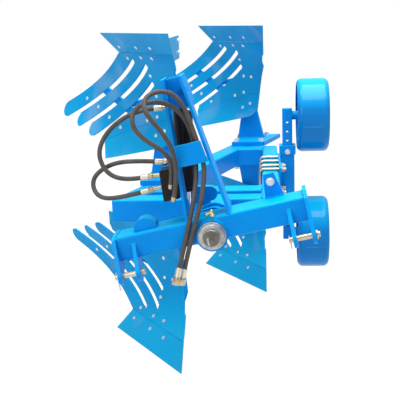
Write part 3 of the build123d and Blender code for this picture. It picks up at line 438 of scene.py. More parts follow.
def makePiece(name, shape, body, material, place=ploughPlace, sharpAngle=32.0):
    points, faceSets = shape
    corners = np.concatenate([faces.ravel() for faces in faceSets]).astype(np.int32)
    counts = np.concatenate([np.full(len(faces), faces.shape[1]) for faces in faceSets])
    mesh = bpy.data.meshes.new(name)
    mesh.vertices.add(len(points))
    mesh.vertices.foreach_set("co", place(points).ravel())
    mesh.loops.add(len(corners))
    mesh.loops.foreach_set("vertex_index", corners)
    mesh.polygons.add(len(counts))
    starts = np.concatenate(([0], np.cumsum(counts)[:-1])).astype(np.int32)
    mesh.polygons.foreach_set("loop_start", starts)
    mesh.update(calc_edges=True)
    mesh.shade_smooth()
    mesh.set_sharp_from_angle(angle=math.radians(sharpAngle))
    mesh.materials.append(material)
    piece = bpy.data.objects.new(name, mesh)
    bpy.context.collection.objects.link(piece)
    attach(piece, body)
    return piece


def nutProfile(radius, height):
    # hex prism whose rims are cut back a little
    return [(radius * 0.9, 0), (radius, height * 0.1), (radius, height * 0.9), (radius * 0.9, height)]


def boltHead(radius, height, washer=0.0):
    head = turned(nutProfile(radius, height), 6)
    if not washer:
        return head
    plate = turned([(washer, 0), (washer, 2.4), (washer * 0.96, 2.8)], 20)
    return joinShapes([plate, (head[0] + [0, 0, 2.8], head[1])])


# a moldboard's face: along the cutting edge (station) and up (height), given for the front lower body
board = {
    "tipX": -184.0, "tipY": 394.0, "turn": math.radians(35.35), "slope": math.radians(50.0),
    "shareHeight": 94.0, "radius": 430.0, "twist": math.radians(17.5), "twistHeight": 504.0,
    "twistStation": 440.0, "thick": 8.0, "shareDepth": 10.2,
}
frameMiddle = axisZ * 1000
rearStep = (384.0, 1071.0, 0.0)


def boardPoints(station, height, depth):
    # share: height over the slope's tangent; moldboard: an arc of the radius that leaves the share at its
    # slope, less the station times the tangent of a twist that grows with the root of the height
    given = (np.asarray(value, float) for value in (station, height, depth))
    station, height, depth = np.broadcast_arrays(*given)
    above = np.maximum(height - board["shareHeight"], 0.0)
    cosine = math.cos(board["slope"]) - above / board["radius"]
    sine = np.sqrt(1 - cosine**2)
    run = np.minimum(height, board["shareHeight"]) / math.tan(board["slope"])
    arc = run + board["radius"] * (sine - math.sin(board["slope"]))
    fan = np.tan(board["twist"] * np.sqrt(above / (board["twistHeight"] - board["shareHeight"])))
    out = arc - (station - board["twistStation"]) * fan + depth / sine
    turn = board["turn"]
    return np.stack([
        board["tipX"] - station * math.sin(turn) + out * math.cos(turn),
        board["tipY"] + station * math.cos(turn) + out * math.sin(turn),
        height,
    ], axis=-1)


def boardNormals(station, height):
    # out of the face: from a point a little behind to the point itself, square to both surface directions
    station, height = np.asarray(station, float), np.asarray(height, float)
    along = boardPoints(station + 1, height, 0) - boardPoints(station - 1, height, 0)
    upward = boardPoints(station, height + 1, 0) - boardPoints(station, height - 1, 0)
    normal = np.cross(along, upward)
    ahead = boardPoints(station, height, 0) - boardPoints(station, height, 1)
    normal *= np.sign(np.sum(normal * ahead, axis=-1, keepdims=True))
    return normal / np.linalg.norm(normal, axis=-1, keepdims=True)


def onBody(shape, bodyName):
    # a front lower shape moved to another body: mirrored above the frame, stepped to the rear
    points, faceSets = shape
    points = np.array(points, float)
    if bodyName.endswith("upper"):
        points[:, 2] = 2 * frameMiddle - points[:, 2]
        faceSets = [faces[:, ::-1] for faces in faceSets]
    if bodyName.startswith("rear"):
        points = points + np.array(rearStep)
    return points, faceSets


ploughBolts = {
    "board": ((572, 122), (443, 116), (351, 118), (450, 203), (450, 300), (391, 303), (457, 398), (523, 419)),
    "strip": ((452, 486), (403, 461), (700, 465)), "slats": ((992, 338), (891, 376), (795, 422)),
    "share": ((273, 68), (411, 68), (587, 68)),
    "head": [(9.5, -1.0), (9.5, 0.5), (8.2, 1.5), (5.0, 2.2), (1.0, 2.5)],
    "nut": 12.7, "nutHeight": 12.0, "washer": 15.0,
}

# the frog behind each board: depths of its backing plate, heights of its post, and its plates and bars
frog = {
    "front": 8.6, "back": 20.6, "foot": 150.0, "top": 505.0, "far": 452.0,
    "footDepth": 46.0, "topDepth": 108.0,
    "braceWidth": 42.0, "braceStart": (436.0, 484.0), "braceEnd": (884.0, 278.0), "stayRadius": 14.0,
    "stayStart": (440.0, 300.0, 50.0), "stayEnd": (704.0, 360.0, 31.6),
    "plate": 12.0, "sideInset": 56.0, "legInset": 44.0, "sideRear": [(836, 450), (850, 330), (802, 200)],
    "legFoot": (558, 38), "legRear": [(822, 240), (720, 38)],
    "spacer": [(625, 39), (625, 95), (705, 95), (705, 39)], "spacerInset": 20.0, "spacerThickness": 24.0,
    "hiddenBy": 14.0, "hiddenPerDepth": 0.75, "leastStation": 332.0, "behindShare": 13.0,
}


def boardBolts():
    # domed heads in the face of the share, board, strip and slats, each with a washer and a nut behind
    groups = ("board", "strip", "slats", "share")
    spots = np.array([spot for group in groups for spot in ploughBolts[group]], float)
    station, height = spots.T
    normals = boardNormals(station, height)
    heads = placeCopies(turned(ploughBolts["head"], 16), boardPoints(station, height, 0), normals)
    backed = (station <= frog["far"]) & (height > frog["foot"])
    bare = np.where(height < board["shareHeight"], board["shareDepth"], board["thick"])
    nutPlaces = boardPoints(station, height, np.where(backed, frog["back"], bare))
    nut = boltHead(ploughBolts["nut"], ploughBolts["nutHeight"], ploughBolts["washer"])
    return joinShapes([heads, placeCopies(nut, nutPlaces, -normals)])


bolts = boardBolts()
for bodyName in bodyNames:
    makePiece("boardBolts-" + bodyName, onBody(bolts, bodyName), "frame", boltMetal)
print("bodies bolted")

# hex bolts and nuts elsewhere, each at a place along a direction; those on the headstock lean with it
uBolts = {"stations": (1018.0, 1114.0, 1236.0, 1354.0), "bracketFace": 282.0, "offset": 58.3}
uNutPlaces = [
    (uBolts["bracketFace"], station, frameMiddle + side * uBolts["offset"])
    for station in uBolts["stations"] for side in (-1, 1)
]
uNuts = placeCopies(boltHead(14.5, 13.0, 16.0), uNutPlaces, [(1, 0, 0)] * len(uNutPlaces))
makePiece("uBoltNuts", uNuts, "frame", paints["bare_steel"])

flangeSpots = [(-352, 740), (-206, 740), (-318, 980), (-172, 980)]
flangeBottom = frameMiddle - 75
flangeBolts = joinShapes([
    placeCopies(boltHead(15.5, 13.0, 17.5), [(x, y, flangeBottom)], [(0, 0, -1)]) for x, y in flangeSpots
])
for bodyName in bodyNames:
    makePiece("flangeBolts-" + bodyName, onBody(flangeBolts, bodyName), "frame", boltMetal)

legPinPlaces = [(317, 1134, frameMiddle + 124), (317, 1134, frameMiddle - 124)]
legPin = placeCopies(boltHead(12.0, 9.0, 14.0), legPinPlaces, [(0, -1, 0)] * 2)
makePiece("legPins", legPin, "frame", boltMetal)
print("bolts and nuts made")

# crimped ferrules and hex nuts on the hose ends, as lengths away from the hose
hoseEnds = {
    "hose_left_upper": ((0, 1, 32, ()), (-1, -2, 32, (("hex", 27, 18), ("pipe", 17, 29)))),
    "hose_left_lower": ((0, 1, 32, (("hex", 27, 16),)), (-1, -2, 32, (("hex", 27, 18), ("pipe", 17, 34)))),
    "hose_feed_right": ((-1, -2, 38, (("pipe", 20, 4), ("hex", 31, 28))),),
    "hose_feed_left": ((-1, -2, 38, (("pipe", 20, 4), ("hex", 31, 28))),),
}
tailPipes = {"hose_left_upper": 21, "hose_left_lower": 38}


def ferrule(length):
    # a sleeve pressed onto the hose: the radius dips at four crimps
    at = np.linspace(0, length, 33)
    radius = 12.0 - 0.9 * np.maximum(np.sin(at / length * 4 * 2 * math.pi), 0)
    radius[0], radius[-1] = 9.6, 9.0
    return turned(np.stack([radius, at], axis=-1), 24)


def hoseFittings():
    # every end's ferrule in pale zinc, its nuts and pipes in yellow zinc, kept apart for the two hanging ends
    sleeves, nuts, tailSleeves, tailNuts = [], [], [], []
    for name, ends in hoseEnds.items():
        route = np.array(hoses[name]["route"]) * 1000
        for end, inner, length, steps in ends:
            place, away = route[end], route[end] - route[inner]
            away = away / np.linalg.norm(away)
            hanging = name.startswith("hose_feed")
            (tailSleeves if hanging else sleeves).append(placeCopies(ferrule(length), [place], [away]))
            place = place + away * length
            if end == 0:
                steps = steps + (("pipe", 16, tailPipes[name]),)
            for kind, across, reach in steps:
                if kind == "hex":
                    shape = turned(nutProfile(across / 2, reach), 6, 0.4)
                else:
                    shape = turned([(across / 2, 0), (across / 2, reach)], 20)
                (tailNuts if hanging else nuts).append(placeCopies(shape, [place], [away]))
                place = place + away * reach
    return sleeves, nuts, tailSleeves, tailNuts


def elbows():
    # a short collar, a ball and a pipe square into the valve block for each hanging hose
    shapes = []
    for name in ("hose_feed_right", "hose_feed_left"):
        route = np.array(hoses[name]["route"][:2]) * 1000
        away = (route[0] - route[1]) / np.linalg.norm(route[0] - route[1])
        place = route[0] + away * 12
        angle = np.linspace(-1.45, 1.45, 11)
        ball = turned(np.stack([10 * np.cos(angle), 10 * np.sin(angle)], axis=-1), 20)
        shapes.append(placeCopies(turned([(10, 0), (10, 12)], 20), [route[0]], [away]))
        shapes.append(placeCopies(ball, [place], [(0, 1, 0)]))
        shapes.append(placeCopies(turned([(9, 0), (9, 75 - place[1])], 20), [place], [(0, 1, 0)]))
    return shapes


paleFinish = dict(zincFinish, color=(0.74, 0.72, 0.64, 1), stain=(0.66, 0.58, 0.42, 1))
paleZinc = makePlate("paleZinc", paleFinish)
sleeves, nuts, tailSleeves, tailNuts = hoseFittings()
portSleeves = makePiece("hoseFerrules", joinShapes(sleeves), "headstock", paleZinc, headPlace)
portNuts = makePiece("hoseNuts", joinShapes(nuts + elbows()), "headstock", paints["zinc_plate"], headPlace)
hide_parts("hose_ports")
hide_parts("hose_ports")
for index in (0, 1):
    label = ("Right", "Left")[index]
    sleevePiece = makePiece("tailFerrule" + label, tailSleeves[index], "headstock", paleZinc, headPlace)
    nutShape = joinShapes(tailNuts[2 * index:2 * index + 2])
    nutPiece = makePiece("tailNut" + label, nutShape, "headstock", paints["zinc_plate"], headPlace)
    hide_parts("hose_couplers")
    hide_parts("hose_couplers")
print("hose ends made")


# height and station of the moldboard's edge along the landside, and of the post's far side
nearEdge = ((94, 106), (150, 218), (170, 234), (290, 312), (364, 340), (472, 356), (526, 360))
postEnds = ((150, 450), (200, 450), (240, 448), (268, 450), (300, 490), (330, 512), (420, 520), (505, 520))


def landsideStation(height, depth, inset):
    # where a surface meets a plane set inside the landside, from two stations on its straight level line
    near, far = boardPoints(0.0, height, depth), boardPoints(100.0, height, depth)
    return (board["tipX"] - inset - near[..., 0]) / (far[..., 0] - near[..., 0]) * 100.0


def layerSections(starts, ends, heights, fronts, backs):
    # a level section at each height: two stations on the surface at the front depth and two at the back depth
    return np.stack([
        boardPoints(starts, heights, fronts), boardPoints(ends, heights, fronts),
        boardPoints(ends, heights, backs), boardPoints(starts, heights, backs),
    ], axis=1)


def plateAcross(corners, inset, thickness):
    # flat plate square to X: its corners lengthwise and up, from an inset behind the landside plane inwards
    corners = np.array(corners, float)
    near = np.c_[np.full(len(corners), board["tipX"] - inset), corners]
    far = np.c_[np.full(len(corners), board["tipX"] - inset - thickness), corners]
    return slab([near, far])


def edgeBehind(heights, inset):
    # front edge of such a plate, just behind the share and the board
    heights = np.array(heights, float)
    station = landsideStation(heights, frog["behindShare"], inset)
    return [tuple(pair) for pair in boardPoints(station, heights, frog["behindShare"])[:, 1:]]


def braceSections():
    # a flat bar on the surface: stations and heights half a width either side of a straight line
    start, end = np.array(frog["braceStart"]), np.array(frog["braceEnd"])
    run = end - start
    middle = start + run * np.linspace(0, 1, 16)[:, None]
    across = np.array((-run[1], run[0])) / np.linalg.norm(run) * frog["braceWidth"] / 2
    low, high = middle - across, middle + across
    return np.stack([
        boardPoints(high[:, 0], high[:, 1], frog["front"]), boardPoints(low[:, 0], low[:, 1], frog["front"]),
        boardPoints(low[:, 0], low[:, 1], frog["back"]), boardPoints(high[:, 0], high[:, 1], frog["back"]),
    ], axis=1)


def hiddenStation(height, depth):
    # the board's edge at the height, plus a margin, plus a part of the depth, so that a piece stays hidden
    edgeHeights, edgeStations = np.array(nearEdge, float).T
    return np.interp(height, edgeHeights, edgeStations) + frog["hiddenBy"] + frog["hiddenPerDepth"] * depth


def frogShape(withSpacer):
    # backing plate and post as level sections, with the post's depth growing evenly from foot to top
    heights = np.linspace(frog["foot"], frog["top"], 14)
    starts = hiddenStation(heights, frog["back"])
    shapes = [slab(layerSections(starts, np.full(14, frog["far"]), heights, frog["front"], frog["back"]))]
    height, end = np.array(postEnds, float).T
    share = (height - frog["foot"]) / (frog["top"] - frog["foot"])
    depth = frog["footDepth"] + share * (frog["topDepth"] - frog["footDepth"])
    start = np.maximum(hiddenStation(height, depth), frog["leastStation"])
    shapes.append(slab(layerSections(start, end, height, frog["back"] - 4, depth)))
    shapes.append(slab(braceSections()))
    sideFront = edgeBehind((200, 240, 310, 380, 450), frog["sideInset"] + frog["plate"])
    legFront = edgeBehind((94, 108, 125, 150, 190, 240), frog["legInset"] + frog["plate"])
    leg = [frog["legFoot"]] + legFront + frog["legRear"]
    shapes.append(plateAcross(sideFront + frog["sideRear"], frog["sideInset"], frog["plate"]))
    shapes.append(plateAcross(leg, frog["legInset"], frog["plate"]))
    stay = boardPoints(*frog["stayStart"]), boardPoints(*frog["stayEnd"])
    length = float(np.linalg.norm(stay[1] - stay[0]))
    bar = turned([(frog["stayRadius"], 0), (frog["stayRadius"], length)], 20)
    shapes.append(placeCopies(bar, [stay[0]], [stay[1] - stay[0]]))
    if withSpacer:
        shapes.append(plateAcross(frog["spacer"], frog["spacerInset"], frog["spacerThickness"]))
    return joinShapes(shapes)


def turnOutwards(piece):
    # faces of every closed block made to point out
    work = bmesh.new()
    work.from_mesh(piece.data)
    bmesh.ops.recalc_face_normals(work, faces=work.faces)
    work.to_mesh(piece.data)
    work.free()


def softenEdges(piece, width):
    bevel = piece.modifiers.new("edges", "BEVEL")
    bevel.width = width
    bevel.segments = 2
    bevel.limit_method = "ANGLE"
    bevel.angle_limit = math.radians(35)


for bodyName in bodyNames:
    shape = onBody(frogShape(bodyName != "front_lower"), bodyName)
    piece = makePiece("frog-" + bodyName, shape, "frame", paints["blue_paint"])
    turnOutwards(piece)
    softenEdges(piece, 0.0012)
    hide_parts("frog_" + bodyName)

# landside: a flat bar from behind the share to well past the shank, its top corner at the rear cut off
landside = {
    "inset": 12.0, "thickness": 9.0, "front": (512, 22), "rear": [(930, 130), (938, 122), (938, 22)],
    "bolts": [(-196.2, 890, 46), (-196.2, 890, 101)],
}
landsideFront = edgeBehind((94, 130), landside["inset"] + landside["thickness"])
landsideOutline = [landside["front"]] + landsideFront + landside["rear"]
landsideBar = plateAcross(landsideOutline, landside["inset"], landside["thickness"])
landsideBolts = placeCopies(boltHead(10.0, 5.0, 12.0), landside["bolts"], [(1, 0, 0)] * 2)
# paler blue bar face: partly a worn face, partly a painted reflection of the sky; paler still on faces that look
# up as painted top light
landsideFinish = dict(
    boardPaint, color=(0.10, 0.42, 0.70, 1), deep=(0.05, 0.33, 0.60, 1), sunny=(0.30, 0.62, 0.82, 1),
)
landsideMaterial = makePaint("landsidePaint", landsideFinish)
for bodyName in ("front_upper", "rear_upper", "rear_lower"):
    piece = makePiece("landside-" + bodyName, onBody(landsideBar, bodyName), "frame", landsideMaterial)
    turnOutwards(piece)
    softenEdges(piece, 0.001)
    piece = makePiece("landsideBolts-" + bodyName, onBody(landsideBolts, bodyName), "frame", boltMetal)
    turnOutwards(piece)
print("frogs made")


def ringAround(radii, depths, sides, notches, notchDepth):
    # closed profile turned about the shaft: radius, less a step in each notch, times cosine and sine
    angle = np.arange(sides) * 2 * math.pi / sides
    cut = (np.mod(angle * notches / (2 * math.pi), 1.0) < 0.16)[None, :]
    radii = np.array(radii, float)[:, None]
    radius = np.where(cut & (radii > shaftEnd["notchFrom"]), radii - notchDepth, radii)
    depth = np.repeat(np.array(depths, float)[:, None], sides, axis=1)
    points = np.stack([radius * np.cos(angle), depth, radius * np.sin(angle) + frameMiddle], axis=-1)
    return points.reshape(-1, 3), [ringQuads(len(depths), sides, closed=True)]


# shaft end and nut: a ring with notches in its rim, a lock tab, a grub screw and a dark turned face
shaftEnd = {
    "nutRadii": (32.2, 46, 49.5, 51, 51, 32.2), "nutDepths": (0, 0, 1.8, 5.5, 12.5, 12.5), "notches": 12,
    "notchDepth": 2.4, "notchFrom": 48.0, "washerRadii": (32.2, 53.5, 55, 55, 32.2),
    "washerDepths": (12.6, 12.6, 14, 19.7, 19.7), "tabThickness": 3.0,
}
# sideways, lengthwise, up from the shaft's middle, and half the width of the lock tab
tabRun = (
    (-13, -22.6, 3, 3.0), (-12.5, -25.0, -3, 3.8), (-8, -24.6, -24, 3.8), (-6, -14.0, -35, 4.2),
    (-5, -3.6, -42, 4.4),
)
nutRing = ringAround(
    shaftEnd["nutRadii"], shaftEnd["nutDepths"], 144, shaftEnd["notches"], shaftEnd["notchDepth"],
)
washer = ringAround(shaftEnd["washerRadii"], shaftEnd["washerDepths"], 72, 1, 0.0)
nut = makePiece("nut", joinShapes([nutRing, washer]), "frame", paints["bare_steel"])
turnOutwards(nut)
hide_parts("shaft_nut")
faceShape = turned([(31.6, 0), (31.6, 0.6), (31.0, 1.2), (5.0, 1.2), (3.5, 0.2)], 48)
faceDisc = placeCopies(faceShape, [(0, -20.2, frameMiddle)], [(0, -1, 0)])
shaftFace = dict(steelFinish, color=(0.20, 0.205, 0.18, 1), stain=(0.12, 0.12, 0.10, 1), rough=0.5)
makePiece("shaftFace", faceDisc, "frame", makePlate("dullSteel", shaftFace))
tabSections = [
    [
        (x + side * half, y + back * shaftEnd["tabThickness"], frameMiddle + z)
        for side, back in ((-1, 0), (1, 0), (1, 1), (-1, 1))
    ]
    for x, y, z, half in tabRun
]
tab = makePiece("lockTab", slab(tabSections), "frame", paints["bare_steel"])
turnOutwards(tab)
grub = turned([(6.0, -1), (6.0, 0.8), (5.2, 1.4), (3.6, 1.4), (3.0, -0.6)], 20)
makePiece("grubScrew", placeCopies(grub, [(4, 0.0, frameMiddle + 42)], [(0, -1, 0)]), "frame", boltMetal)
brassFinish = {"color": (0.86, 0.72, 0.42, 1), "stain": (0.70, 0.50, 0.20, 1), "rough": 0.3}
brass = makePlate("brass", brassFinish)
nipple = joinShapes([
    turned(nutProfile(9.5, 11), 6),
    turned([(6.5, 11), (6.5, 16), (4.2, 18), (4.2, 22), (5.6, 24), (5.2, 27), (2.2, 29.5)], 18),
])
sideArm = turned([(5.0, 0), (5.0, 15), (6.5, 15.5), (6.5, 22), (3, 24)], 16)
makePiece("greaseFitting", joinShapes([
    placeCopies(nipple, [(18, 32, 72)], [(0.12, -0.25, 1)]),
    placeCopies(sideArm, [(18, 30, 90)], [(-1, -0.1, -0.25)]),
]), "headstock", brass, headPlace)
stopBolt = placeCopies(boltHead(15.0, 11.0, 17.0), [(258, 132, 132)], [(0, -1, 0)])
makePiece("stopBolt", stopBolt, "headstock", boltMetal, headPlace)
print("shaft end made")


def bentWire(points, radius, sides=10):
    # round wire through points: each ring stands square to the run between its neighbours
    points = np.array(points, float)
    axes = framesAlong(np.gradient(points, axis=0))
    angle = (np.arange(sides) * 2 * math.pi / sides)[None, :, None]
    circles = np.cos(angle) * axes[:, None, 0] + np.sin(angle) * axes[:, None, 1]
    return slab(points[:, None] + radius * circles)


def linchpin(side, along, rise, drop):
    # a straight pin through the hitch pin's end and a ring that hangs from it
    angle = np.linspace(0, 2 * math.pi, 25)[:-1]
    lengthwise, up = along + 3 + 11 * np.sin(angle), rise - drop + 11 * np.cos(angle)
    ring = np.stack([np.full(24, side), lengthwise, up], axis=-1)
    pinRun = [(side, along, rise + 17), (side, along, rise - 8), (side, along + 1, rise - drop + 10)]
    pin = bentWire(pinRun, 2.6)
    return joinShapes([pin, bentWire(np.concatenate([ring, ring[:2]]), 1.7)])


pinShapes = [linchpin(-396, 0, -75, 46), linchpin(286, 0, -75, 26)]
for label, shape in zip(("Left", "Right"), pinShapes):
    piece = makePiece("linchpin" + label, shape, "headstock", boltMetal, headPlace)
    turnOutwards(piece)


def weldRun(start, end, radius=4.0):
    # a round run whose radius ripples as the sine of the way along it, and is less than half at both ends
    start, end = np.array(start, float), np.array(end, float)
    length = np.linalg.norm(end - start)
    count = max(int(length / 3), 4)
    step = np.linspace(0, 1, count)
    axes = framesAlong((end - start)[None])[0]
    ripple = radius * (1 + 0.16 * np.sin(step * length * 1.1)) * np.where((step == 0) | (step == 1), 0.4, 1.0)
    angle = np.arange(8) * math.pi / 4
    circle = np.cos(angle)[:, None] * axes[0] + np.sin(angle)[:, None] * axes[1]
    return slab((start + (end - start) * step[:, None])[:, None] + ripple[:, None, None] * circle[None])


# weld beads on the headstock: sideways places of mast, inner lugs and end plates, and the sleeve's radius
headSeam = {"mast": 82, "mastHalf": 6, "lug": 305.0, "lugHalf": 7.5, "endPlate": 370.5, "sleeve": 62.5}
headWelds = []
for side in (-1, 1):
    for edge in (-headSeam["mastHalf"], headSeam["mastHalf"]):
        x = side * headSeam["mast"] + edge
        headWelds.append(weldRun((x, 36, 70), (x, 147, 70)))
    headWelds.append(weldRun((side * 76, 34, 71), (side * 88, 34, 71)))
    for lug in (-1, 1):
        x = side * headSeam["lug"] + lug * headSeam["lugHalf"]
        headWelds.append(weldRun((x, 30, -22), (x, 30, 36), 3.5))
    x = side * headSeam["endPlate"]
    headWelds.append(weldRun((x, 40, 70), (x, 150, 70), 3.5))
arcAngle = np.radians(np.linspace(-22, 202, 60))
acrossArc, upArc = headSeam["sleeve"] * np.cos(arcAngle), headSeam["sleeve"] * np.sin(arcAngle)
sleeveArc = np.stack([acrossArc, np.full(60, 29.0), upArc], axis=-1)
headWelds.append(bentWire(sleeveArc, 3.6, 8))
for left, right, along in ((-296, -206, 90), (226, 298, 132), (226, 298, 148)):
    headWelds.append(weldRun((left, along, 71), (right, along, 71), 3.5))

# and on the frame: where three cross beams meet the side beam, round the hub block and on the bracket
sideBeamFace, beamEnds = 187, ((425, 525), (594, 694), (1680, 1780))
frameWelds = []
for front, back in beamEnds:
    for y in (front, back):
        frameWelds.append(weldRun((sideBeamFace, y, 704), (sideBeamFace, y, 796)))
for front, back in beamEnds:
    for z in (700, 800):
        frameWelds.append(weldRun((sideBeamFace, front + 3, z), (sideBeamFace, back - 3, z)))
for x in (-58, 58):
    frameWelds.append(weldRun((x, 425, 703), (x, 425, 797)))
frameWelds.append(weldRun((-50, 424, 800), (50, 424, 800)))
for y, z in ((1134, 640), (1134, 860)):
    frameWelds.append(weldRun((282, y, z - 20), (282, y, z + 20), 3.0))
shankWelds = []
for x in (-347, -189):
    shankWelds.append(weldRun((x, 868, 674), (x, 980, 674), 5.0))
for y in (862, 986):
    shankWelds.append(weldRun((-341, y, 674), (-195, y, 674), 5.0))
for name, shapes, body, place in (
    ("headWelds", headWelds, "headstock", headPlace), ("frameWelds", frameWelds, "frame", ploughPlace),
):
    piece = makePiece(name, joinShapes(shapes), body, paints["blue_paint"], place, 60)
    turnOutwards(piece)
for bodyName in bodyNames:
    shape = onBody(joinShapes(shankWelds), bodyName)
    piece = makePiece("shankWelds-" + bodyName, shape, "frame", paints["blue_paint"], ploughPlace, 60)
    turnOutwards(piece)
print("welds made")

# mast: two leaning plates, the plates between them that hold the cylinder's pin, and the cross plate
mast = {
    "low": 70.0, "high": 612.0, "left": (-82.0, -50.0), "right": (84.0, 19.0), "half": 6.0, "gap": 0.6,
    "holeLengthwise": 116.0, "holeUp": 552.0, "holeRadius": 13.0,
}
mastOutline = [(34, 69), (148, 69), (148, 491), (160, 503), (240, 503), (240, 586), (214, 612), (88, 612)]


def mastMiddle(side, up):
    # sideways place of a plate's middle, which moves evenly from its foot to its top
    low, high = mast[side]
    return low + (high - low) * (np.asarray(up, float) - mast["low"]) / (mast["high"] - mast["low"])


def mastPlate(side):
    # outline and hole joined by rings of quads; each outline point has its hole point on the same ray
    corners = np.array(mastOutline + mastOutline[:1], float)
    outer = np.concatenate([np.linspace(a, b, 7)[:-1] for a, b in zip(corners[:-1], corners[1:])])
    centre = np.array((mast["holeLengthwise"], mast["holeUp"]))
    ray = outer - centre
    inner = centre + ray / np.linalg.norm(ray, axis=1)[:, None] * mast["holeRadius"]
    loops = []
    for loop, shift in ((outer, -1), (inner, -1), (inner, 1), (outer, 1)):
        loops.append(np.c_[mastMiddle(side, loop[:, 1]) + shift * mast["half"], loop])
    return np.concatenate(loops), [ringQuads(len(loops), len(outer), closed=True)]


def plateBetween(near, far, low, high):
    # a flat plate from one mast plate to the other, between two lengthwise places and two heights
    inside = mast["half"] + mast["gap"]
    corners = []
    for up in (low, high):
        corners.append((float(mastMiddle("left", up)) + inside, up))
        corners.append((float(mastMiddle("right", up)) - inside, up))
    corners = [corners[0], corners[1], corners[3], corners[2]]
    return slab([[(x, along, up) for x, up in corners] for along in (near, far)])


for side in ("left", "right"):
    piece = makePiece("mast-" + side, mastPlate(side), "headstock", paints["blue_paint"], headPlace, 25)
    turnOutwards(piece)
    softenEdges(piece, 0.0015)
    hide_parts("mast_plate_" + side)
backPlates = joinShapes([plateBetween(155, 167, 485, 606), plateBetween(233, 245, 501, 606)])
crossPlate = plateBetween(40, 50, 280, 363)
for name, shape, node in (
    ("mastBackPlates", backPlates, "mast_lugs"), ("mastCrossPlate", crossPlate, "mast_cross_plate"),
):
    piece = makePiece(name, shape, "headstock", paints["blue_paint"], headPlace)
    turnOutwards(piece)
    softenEdges(piece, 0.001)
    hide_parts(node)

# wheels: a glossier paint, a welded seam over the tread, bolts round the hub and a domed cap
wheel = {
    "lengthwise": 1175.0, "apart": 305.0, "radius": 184.0, "seamTurn": math.radians(192), "bolts": 5,
    "boltCircle": 58.0, "discFace": 403.0, "discThickness": 8.0, "capFoot": 484.0,
    "cap": [(33, 0), (33, 8), (31, 15), (25, 21), (14, 24.5), (2, 25.5)], "seamFrom": 397, "seamTo": 489,
}
wheelPaint = dict(
    framePaint, color=(0.0, 0.20, 0.56, 1), deep=(0.0, 0.165, 0.47, 1), rough=0.2, peel=0.03, coat=0.22,
)
wheelMaterial = makePaint("wheelPaint", wheelPaint)
for name, upDown in (("wheel_upper", 1), ("wheel_lower", -1)):
    height = frameMiddle + upDown * wheel["apart"]
    nodes[name].material_slots[0].material = wheelMaterial
    seamY = wheel["lengthwise"] + wheel["radius"] * math.cos(wheel["seamTurn"])
    seamZ = height + wheel["radius"] * math.sin(wheel["seamTurn"])
    hubTurn = np.arange(wheel["bolts"]) * 2 * math.pi / wheel["bolts"] + 0.3
    spots = np.stack([
        np.full(wheel["bolts"], wheel["discFace"]),
        wheel["lengthwise"] + wheel["boltCircle"] * np.cos(hubTurn),
        height + wheel["boltCircle"] * np.sin(hubTurn),
    ], axis=-1)
    head = boltHead(10.5, 8.0, 12.5)
    shapes = [
        weldRun((wheel["seamFrom"], seamY, seamZ), (wheel["seamTo"], seamY, seamZ), 2.2),
        placeCopies(head, spots, [(1, 0, 0)] * wheel["bolts"]),
        placeCopies(head, spots - [wheel["discThickness"], 0, 0], [(-1, 0, 0)] * wheel["bolts"]),
        placeCopies(turned(wheel["cap"], 28), [(wheel["capFoot"], wheel["lengthwise"], height)], [(1, 0, 0)]),
    ]
    piece = makePiece("wheelTrim-" + name, joinShapes(shapes), name, wheelMaterial)
    turnOutwards(piece)

# cylinder: a gland ring, two ports and their pipe, on its own line between the pins
cylinder = {
    "lengthwise": 200.0, "topPinUp": 545.0, "crankRadius": 105.0, "ports": (100, 352),
    "glandAt": 374, "gland": [(38.1, 0), (38.7, 0.8), (38.7, 13), (37.0, 14.6)],
    "wiperAt": 386, "wiper": [(17, 0), (22, 1), (22, 8), (19, 11)],
    "pipe": ((100, -42), (108, -45), (124, -46), (326, -46), (344, -45), (352, -42)), "pipeRadius": 4.0,
}
topPin = headPlace([0, cylinder["lengthwise"], cylinder["topPinUp"]]) * 1000
topPin = topPin - np.array([axisX, hitchY, 0]) * 1000
crankPin = np.array([-cylinder["crankRadius"], cylinder["lengthwise"], frameMiddle])
pull = (crankPin - topPin) / np.linalg.norm(crankPin - topPin)
portPlaces = [topPin + pull * down + [0, -36, 0] for down in cylinder["ports"]]
cylinderShapes = [
    placeCopies(turned(cylinder["gland"], 36), [topPin + pull * cylinder["glandAt"]], [pull]),
    placeCopies(turned(cylinder["wiper"], 28), [topPin + pull * cylinder["wiperAt"]], [pull]),
    placeCopies(turned(nutProfile(12, 8), 6), portPlaces, [(0, -1, 0)] * 2),
    bentWire([topPin + pull * down + [0, out, 0] for down, out in cylinder["pipe"]], cylinder["pipeRadius"]),
]
nodes["cylinder_top_pin"].material_slots[0].material = paints["blue_paint"]
piece = makePiece("cylinderTrim", joinShapes(cylinderShapes), "barrel", paints["black_paint"])
turnOutwards(piece)
print("wheel and cylinder trim made")

# the floor, the light and the sizes
studio = {
    "floorSize": 30.0, "skyLevel": 0.57, "keySize": 3.4, "keyPower": 240.0,
    "fillSize": 2.2, "fillPower": 70.0,
}


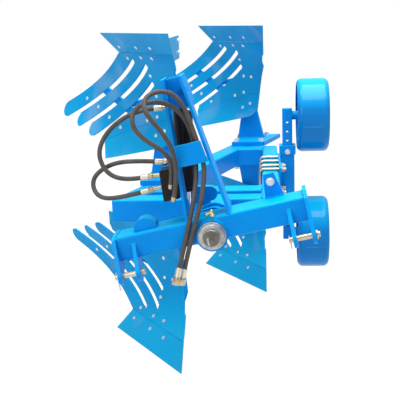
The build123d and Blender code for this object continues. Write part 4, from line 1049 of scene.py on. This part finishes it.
def makeFloor():
    # white to the camera and to gloss, with a little of its shadow; pale and plain to the light that bounces
    half = studio["floorSize"] / 2
    mesh = bpy.data.meshes.new("floor")
    corners = [(-half, -half, 0), (half, -half, 0), (half, half, 0), (-half, half, 0)]
    mesh.from_pydata(corners, [], [(0, 1, 2, 3)])
    floor = bpy.data.objects.new("floor", mesh)
    bpy.context.collection.objects.link(floor)
    material = bpy.data.materials.new("paleFloor")
    material.use_nodes = True
    tree = material.node_tree
    tree.nodes.clear()
    plain = addNode(tree, "ShaderNodeBsdfDiffuse", {"Color": (0.80, 0.80, 0.80, 1)})
    glow = addNode(tree, "ShaderNodeEmission", {"Color": (1, 1, 1, 1), "Strength": 1.12})
    rays = addNode(tree, "ShaderNodeLightPath")
    seen = addMath(tree, "MAXIMUM", rays.outputs["Is Camera Ray"], rays.outputs["Is Glossy Ray"])
    mix = addNode(tree, "ShaderNodeMixShader")
    tree.links.new(addMath(tree, "MULTIPLY", seen, 0.86), mix.inputs[0])
    tree.links.new(plain.outputs[0], mix.inputs[1])
    tree.links.new(glow.outputs[0], mix.inputs[2])
    output = addNode(tree, "ShaderNodeOutputMaterial")
    tree.links.new(mix.outputs[0], output.inputs[0])
    mesh.materials.append(material)


def makeSky():
    world = bpy.data.worlds.new("studio")
    bpy.context.scene.world = world
    world.use_nodes = True
    tree = world.node_tree
    background = tree.nodes["Background"]
    background.inputs["Color"].default_value = (1, 1, 1, 1)
    rays = addNode(tree, "ShaderNodeLightPath")
    seen = addMath(tree, "MAXIMUM", rays.outputs["Is Camera Ray"], rays.outputs["Is Transmission Ray"])
    tree.links.new(spread(tree, seen, 0.0, 1.0, studio["skyLevel"], 1.0), background.inputs["Strength"])


def addSoftLight(name, place, aim, size, power):
    light = bpy.data.lights.new(name, "AREA")
    light.shape = "SQUARE"
    light.size = size
    light.energy = power
    lamp = bpy.data.objects.new(name, light)
    lamp.location = place
    lamp.rotation_euler = (Vector(aim) - Vector(place)).to_track_quat("-Z", "Y").to_euler()
    bpy.context.collection.objects.link(lamp)


makeFloor()
makeSky()
addSoftLight("overhead", (0.4, -0.6, 4.6), (0.0, 0.0, 0.7), studio["keySize"], studio["keyPower"])
addSoftLight("front", (-2.6, -4.6, 2.6), (0.0, 0.0, 0.8), studio["fillSize"], studio["fillPower"])
bpy.context.scene.view_settings.view_transform = "Standard"
print("light and floor set")
